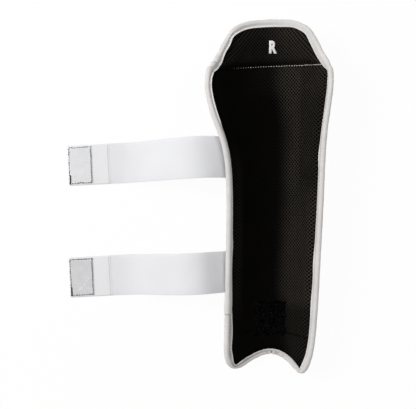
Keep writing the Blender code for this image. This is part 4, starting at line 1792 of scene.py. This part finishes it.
@dataclass
class Strap:
    """One elastic strap with its tab and hook patch, and the loop pad that it closes on."""

    place: StrapPlace
    kit: Kit
    root_y: float
    hinge_x: float
    hinge_z: float
    band: float
    slope: float
    pad_y: float
    lands: tuple[float, ...] = (22.0, 18.8, 15.6, 12.4, 9.4)
    land_depth: float = -2.2
    rest: float = 12.0
    width: float = 38.1
    thick: float = 1.6
    turn: float = math.radians(3.0)
    line_points: int = 150
    relax_rounds: int = 90
    columns: int = 23
    root_rows: tuple[int, int] = (2, 7)
    root_gap: float = 2.2
    tab: float = 38.6
    tab_lap: float = 1.2
    tab_thick: float = 1.8
    seam_gap: float = 1.75
    hook: tuple[float, float] = (22.4, 35.4)
    hook_end: float = 0.6
    hook_gap: float = 1.25
    hook_clear: tuple[float, float] = (2.6, 2.2)
    frame_in: float = 0.9
    frame_count: int = 44
    tack_count: int = 13
    scratch_ridge: Dent = Dent(0.3, 0.45)
    pad: tuple[float, float] = (8.0, 24.0)
    pad_pile: int = 900
    hook_seed: int = 11
    stitch_seed: int = 3
    pile_seed: int = 21
    bodies: tuple[str, str] = field(init=False)

    def __post_init__(self) -> None:
        """Sets the strap's frame."""
        self.bodies = (self.named("strap"), self.named("tab"))
        self.out = np.array((-math.cos(self.turn), -math.sin(self.turn), 0.0))
        self.side = np.array((-math.sin(self.turn), math.cos(self.turn), 0.0))
        self.hinge = np.array((self.hinge_x, self.root_y, 0.0))
        self.lower = self.place is StrapPlace.LOWER
        self.scratch = np.array([(self.tab - 9.8, -12.6), (self.tab - 21.0, -0.6)])
        self.hook_u = (self.tab - self.hook[0] - self.hook_end, self.tab - self.hook_end)

    def named(self, what: str) -> str:
        """A piece's name on this strap."""
        return f"{self.place.value}_{what}"

    def chance(self, seed: int) -> np.random.Generator:
        """Random draws of this strap, one seed past those of the upper strap on the lower."""
        return np.random.default_rng(seed + self.lower)

    def spot(self, u: Array | float, w: Array | float, z: Array | float) -> Array:
        """Point at a distance out, across and up."""
        u, w, z = np.broadcast_arrays(np.asarray(u, float), np.asarray(w, float), np.asarray(z, float))
        return self.hinge + self.out * u[..., None] + self.side * w[..., None] + UP * z[..., None]

    def fall(self, u: Array) -> Array:
        """Height of the band's top: up from the hinge, over a crest and down to the floor.

        Args:
            u: distance out from the hinge.

        Returns:
            Heights in millimetres.
        """
        low = self.thick + 0.1
        span = self.band - self.rest
        t = np.minimum(u / span, 1.0)
        return low + (self.hinge_z - low) * (1 - smooth(t)) + self.slope * span * t * (1 - t) ** 2

    def mid_line(self, w: float) -> Array:
        """Middle of the elastic's thickness, from its sewn end to the tab.

        Args:
            w: place across the strap.

        Returns:
            Points in millimetres, evenly spaced.
        """
        q = np.array([self.root_y + w])
        rim = FORM.rim_s(q, Wing.LEFT)
        wing = [FORM.place(rim + a, q, self.land_depth)[0] for a in self.lands]
        u = np.linspace(0, self.band - 0.3, 25)
        free = self.spot(u, w, self.fall(u) - self.thick / 2)
        line = resample(spline(wing + list(free), 6), self.line_points)
        for _ in range(self.relax_rounds):
            line = relax(line)
        return resample(line, self.line_points)

    def crowded(self, count: int) -> Array:
        """Places from -1 to 1, closer together at both ends."""
        return np.sin(np.linspace(-1, 1, count) * math.pi / 2)

    def elastic(self) -> None:
        """Knitted elastic, one piece from the sewn root to the tab."""
        w = self.crowded(self.columns) * self.width / 2
        mid = np.stack([self.mid_line(x) for x in w], 1)
        centre = len(w) // 2
        up = unit(np.cross(np.gradient(mid, axis=0), np.gradient(mid, axis=1)))
        up *= np.sign(up[-1, centre, 2])
        half = self.thick / 2 * (1 - 0.55 * np.abs(w / w[-1]) ** 10)
        top, bottom = mid + up * half[None, :, None], mid - up * half[None, :, None]
        run = np.linspace(0, line_run(mid[:, centre])[-1], len(mid))
        flat = np.stack(np.broadcast_arrays(run[:, None], w[None]), -1).reshape(-1, 2)
        piece = make_piece(self.named("elastic"), *grid_solid(top, bottom), np.vstack([flat, flat]))
        self.kit.dress(piece, "elastic", "elastic")
        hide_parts(self.named("strap_anchor"), self.named("strap_band"))
        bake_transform(piece)
        self.root_stitches(w, bottom, -up)

    def root_stitches(self, w: Array, face: Array, up: Array) -> None:
        """Two rows of stitches that hold the sewn root to the wing.

        Args:
            w: place across the strap of each column.
            face: points of the elastic's outer face, along it by across it.
            up: directions out of that face.
        """
        at = np.arange(-self.width / 2 + 1.7, self.width / 2 - 1.5, self.root_gap)
        lines = [read_along(at, w, face[row]) for row in self.root_rows]
        runs = [np.gradient(line, axis=0) for line in lines]
        ups = [read_along(at, w, up[row]) for row in self.root_rows]
        piece = self.kit.sew(self.named("root_stitches"), ROOT_STITCH, "white_thread", "white_thread",
                             np.vstack(lines), np.vstack(runs), np.vstack(ups))
        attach(piece, "shin")

    def tab_piece(self) -> None:
        """Folded cloth tab with eased edges."""
        u = self.crowded(41) * 0.5 + 0.5
        w = self.crowded(41)
        u, w = np.meshgrid(u * (self.tab + self.tab_lap) - self.tab_lap, w * self.width / 2, indexing="ij")
        end = np.clip((u - (self.tab - 3.0)) / 3.0, 0, 1)
        w = w * (1 - 0.035 * end**3)
        ease = rounded(np.minimum(self.width / 2 - np.abs(w), self.tab - u), 1.3)
        swell = 0.12 * np.sin(u / 5.2) * np.cos(w / 7.0)
        out = u + self.band
        top, bottom = 0.95 + (0.95 + swell) * ease, 0.75 - 0.7 * ease
        solid = grid_solid(self.spot(out, w, top), self.spot(out, w, bottom))
        flat = np.stack([u, w], -1).reshape(-1, 2)
        piece = make_piece(self.named("tab_cloth"), *solid, np.vstack([flat, flat]))
        self.kit.dress(piece, "tab", "tab")
        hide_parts(self.named("strap_tab"))
        seam = self.spot(self.band, 0.0, self.tab_thick)
        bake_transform(piece)

    def on_tab(self, what: str, thread: Thread, finish: str, slot: str, spots: Array, runs: Array,
               sizes: Array | None = None) -> Object:
        """Threads that stand on the tab and ride on it.

        Args:
            what: the piece's name on this strap.
            thread: the thread's shape.
            finish: name of its finish.
            slot: passed on to the kit's sew.
            spots: points in millimetres.
            runs: direction of each thread.
            sizes: size of each thread, 1 where none is given.

        Returns:
            The piece.
        """
        ups = np.tile(UP, (len(spots), 1))
        piece = self.kit.sew(self.named(what), thread, finish, slot, spots, runs, ups, sizes)
        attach(piece, self.bodies[1])
        return piece

    def seam(self) -> None:
        """Row of stitches where the tab joins the elastic."""
        w = np.arange(-self.width / 2 + 1.3, self.width / 2 - 1.2, self.seam_gap)
        spots = self.spot(self.band + 0.3, w, self.tab_thick - 0.02)
        runs = np.tile(self.side, (len(w), 1))
        self.on_tab("seam_stitches", SEAM_STITCH, "seam_thread", "tab", spots, runs)

    def off_scratch(self, u: Array, w: Array) -> Array:
        """Distance from the crease across the lower hook tape."""
        return line_distance(np.stack([u.ravel(), w.ravel()], 1), self.scratch, False).reshape(u.shape)

    def hook_patch(self) -> None:
        """Hook tape: a thin base and rows of bent hooks."""
        near, far = self.hook_u
        half = self.hook[1] / 2
        # The lower strap's hook tape takes the darker copy, painted shade.
        finish = "hook_painted_shade" if self.lower else "hook"
        u, w = np.meshgrid(np.linspace(near, far, 60), np.linspace(-half, half, 92), indexing="ij")
        edge = np.minimum.reduce([u - near, far - u, half - np.abs(w)])
        top = self.tab_thick + 0.35 + 0.45 * ramp(edge, 0.0, 0.8)
        if self.lower:
            top += self.scratch_ridge.at(self.off_scratch(u, w)) * ramp(edge, 0.0, 2.0)
        out = u + self.band
        solid = grid_solid(self.spot(out, w, top), self.spot(out, w, self.tab_thick - 0.1))
        piece = make_piece(self.named("hook_tape"), *solid)
        self.kit.dress(piece, finish, "hook")
        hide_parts(self.named("hook_patch"))
        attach(piece, self.bodies[1])
        first, last = self.hook_clear
        u, w = (x.ravel() for x in np.meshgrid(np.arange(near + first, far - last, self.hook_gap),
                                               np.arange(first - half, half - last, self.hook_gap)))
        if self.lower:
            kept = self.off_scratch(u, w) > 0.8
            u, w = u[kept], w[kept]
        spots = self.spot(u + self.band, w, self.tab_thick + 0.75)
        chance = self.chance(self.hook_seed)
        ways = np.where(np.arange(len(spots)) % 2, 1, -1)[:, None]
        runs = self.out * ways + chance.normal(0, 0.25, spots.shape)
        self.on_tab("hooks", HOOK, finish, "hook", spots, runs, chance.uniform(0.85, 1.1, len(spots)))

    def hook_stitches(self) -> None:
        """Dark stitched frame that holds the hook tape, with a back-tack at one corner."""
        near, far = self.hook_u[0] + self.frame_in, self.hook_u[1] - self.frame_in
        half = self.hook[1] / 2 - self.frame_in
        corners = np.array([(far, -half), (near, -half), (near, half), (far, half)])
        line = resample(corners, self.frame_count, True)
        runs = unit(np.roll(line, -1, 0) - np.roll(line, 1, 0))
        chance = self.chance(self.stitch_seed)
        tack = np.array([(far - 0.1 - 0.55 * (k % 2), -half + 0.62 * k) for k in range(self.tack_count)])
        line = np.vstack([line + chance.normal(0, 0.11, line.shape), tack])
        runs = np.vstack([runs + chance.normal(0, 0.14, runs.shape), np.tile((0.3, 1.0), (len(tack), 1))])
        spots = self.spot(line[:, 0] + self.band, line[:, 1], self.tab_thick + 0.85)
        piece = self.on_tab("hook_stitches", HOOK_STITCH, "dark_thread", "dark_thread", spots,
                            self.out * runs[:, :1] + self.side * runs[:, 1:],
                            chance.uniform(0.75, 1.15, len(spots)))
        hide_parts(self.named("hook_stitch"))

    def loop_pad(self) -> None:
        """Brushed loop pad on the outside of the far wing, with its pile."""
        near, far = self.pad
        along = self.pad_y + np.linspace(-0.5, 0.5, 30) * self.width
        q, deep = np.meshgrid(along, np.linspace(near, far, 18), indexing="ij")
        s = FORM.rim_s(q, Wing.RIGHT) - deep
        edge = np.minimum.reduce([deep - near, far - deep, self.width / 2 - np.abs(q - self.pad_y)])
        outer = FORM.place(s, q, -1.75 - 0.5 * ramp(edge, 0.0, 1.2))
        piece = make_piece(self.named("loop_pad_cloth"), *grid_solid(FORM.place(s, q, -1.2), outer))
        self.kit.dress(piece, "loop", "loop")
        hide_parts(self.named("loop_pad"))
        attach(piece, "shin")
        chance = self.chance(self.pile_seed)
        q = self.pad_y + chance.uniform(-0.49, 0.49, self.pad_pile) * self.width
        s = FORM.rim_s(q, Wing.RIGHT) - chance.uniform(near + 0.3, far - 0.3, self.pad_pile)
        base, over = FORM.place(s, q, -2.1), FORM.place(s, q, -3.1)
        runs = chance.normal(size=base.shape)
        pile = self.kit.sew(self.named("loop_pile"), LOOP_PILE, "loop", "loop", base, runs, over - base,
                            chance.uniform(0.7, 1.2, self.pad_pile))
        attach(pile, "shin")

    def build(self) -> None:
        """Makes the strap's pieces in order."""
        for step in (self.elastic, self.tab_piece, self.seam, self.hook_patch, self.hook_stitches,
                     self.loop_pad):
            step()
            LOG.info("%s strap: %s", self.place.value, step.__name__)


@dataclass
class Studio:
    """Pale floor, soft lamps and the camera above the guard."""

    eye: tuple[float, float, float] = (-61.0, 0.0, 800.0)
    sensor: float = 36.0
    floor_scale: float = 0.95
    frame_width: float = 416.0
    floor_half: float = 4000.0
    floor_z: float = -0.3
    floor_tone: float = 0.86
    floor_glow: float = 0.95
    sky_light: float = 0.38

    def camera(self) -> None:
        """Camera straight above, as wide as the picture's frame at the floor."""
        data = bpy.data.cameras.new("camera")
        data.sensor_fit = "HORIZONTAL"
        data.sensor_width = self.sensor
        data.lens = self.sensor * self.eye[2] / (self.frame_width * self.floor_scale)
        data.clip_start = 0.01
        holder = bpy.data.objects.new("camera", data)
        holder.location = Vector(self.eye) * MM
        bpy.context.scene.collection.objects.link(holder)
        bpy.context.scene.camera = holder

    def floor(self) -> None:
        """Pale floor that keeps a soft shadow and shows near white."""
        corners = [(x * self.floor_half, y * self.floor_half, self.floor_z)
                   for x, y in ((-1, -1), (1, -1), (1, 1), (-1, 1))]
        piece = make_piece("floor", np.array(corners), [(0, 1, 2, 3)], turn_out=False)
        material = bpy.data.materials.new("floor_pale")
        material.use_nodes = True
        material.node_tree.nodes.clear()
        pen = NodePen(material.node_tree)
        matt = pen.add("ShaderNodeBsdfDiffuse", {"Color": (*(self.floor_tone,) * 3, 1)})
        glow = pen.add("ShaderNodeEmission", {"Color": (1, 1, 1, 1), "Strength": 1.0})
        share = pen.math("MULTIPLY", pen.seen_directly(), self.floor_glow)
        mix = pen.add("ShaderNodeMixShader", {0: share, 1: matt.outputs[0], 2: glow.outputs[0]})
        pen.add("ShaderNodeOutputMaterial", {0: mix.outputs[0]})
        piece.data.materials.append(material)

    def lamp(self, name: str, at: tuple[float, float, float], size: float, watts: float) -> None:
        """Square soft lamp aimed at the guard.

        Args:
            name: the lamp's name.
            at: its place in metres.
            size: its side in metres.
            watts: its power.
        """
        data = bpy.data.lights.new(name, "AREA")
        data.size = size
        data.energy = watts
        holder = bpy.data.objects.new(name, data)
        holder.location = at
        holder.rotation_euler = (-Vector(at)).to_track_quat("-Z", "Y").to_euler()
        bpy.context.scene.collection.objects.link(holder)

    def world(self) -> None:
        """White surroundings for the eye, plain soft light for the guard."""
        world = bpy.data.worlds.new("studio")
        world.use_nodes = True
        bpy.context.scene.world = world
        pen = NodePen(world.node_tree)
        strength = pen.math("MULTIPLY_ADD", pen.seen_directly(), 1 - self.sky_light, self.sky_light)
        pen.fill(world.node_tree.nodes["Background"], {"Color": (1, 1, 1, 1), "Strength": strength})

    def build(self) -> None:
        """Sets the stage."""
        self.camera()
        self.floor()
        self.lamp("key", (-1.15, 0.35, 1.05), size=0.8, watts=18.5)
        self.lamp("fill", (0.55, 0.6, 1.3), size=1.2, watts=6.0)
        self.world()
        bpy.context.scene.view_settings.view_transform = "Standard"
        LOG.info("studio")


def main() -> None:
    """Loads the frame, dresses it and sets the studio."""
    logging.basicConfig(level=logging.INFO, format="%(message)s")
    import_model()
    kit = Kit(FinishSet().build(), ThreadTree())
    lining = Lining(kit)
    upper = Strap(StrapPlace.UPPER, kit, root_y=43.6, hinge_x=-61.0, hinge_z=36.0, band=94.4, slope=0.36,
                  pad_y=40.6)
    lower = Strap(StrapPlace.LOWER, kit, root_y=-62.1, hinge_x=-55.0, hinge_z=30.5, band=99.1, slope=0.85,
                  pad_y=-64.5)
    parts = (lining, Cover(kit), Binding(kit), LiningTrim(kit, lining), Plates(kit), upper, lower, Studio())
    for part in parts:
        part.build()


if __name__ == "__main__":
    main()
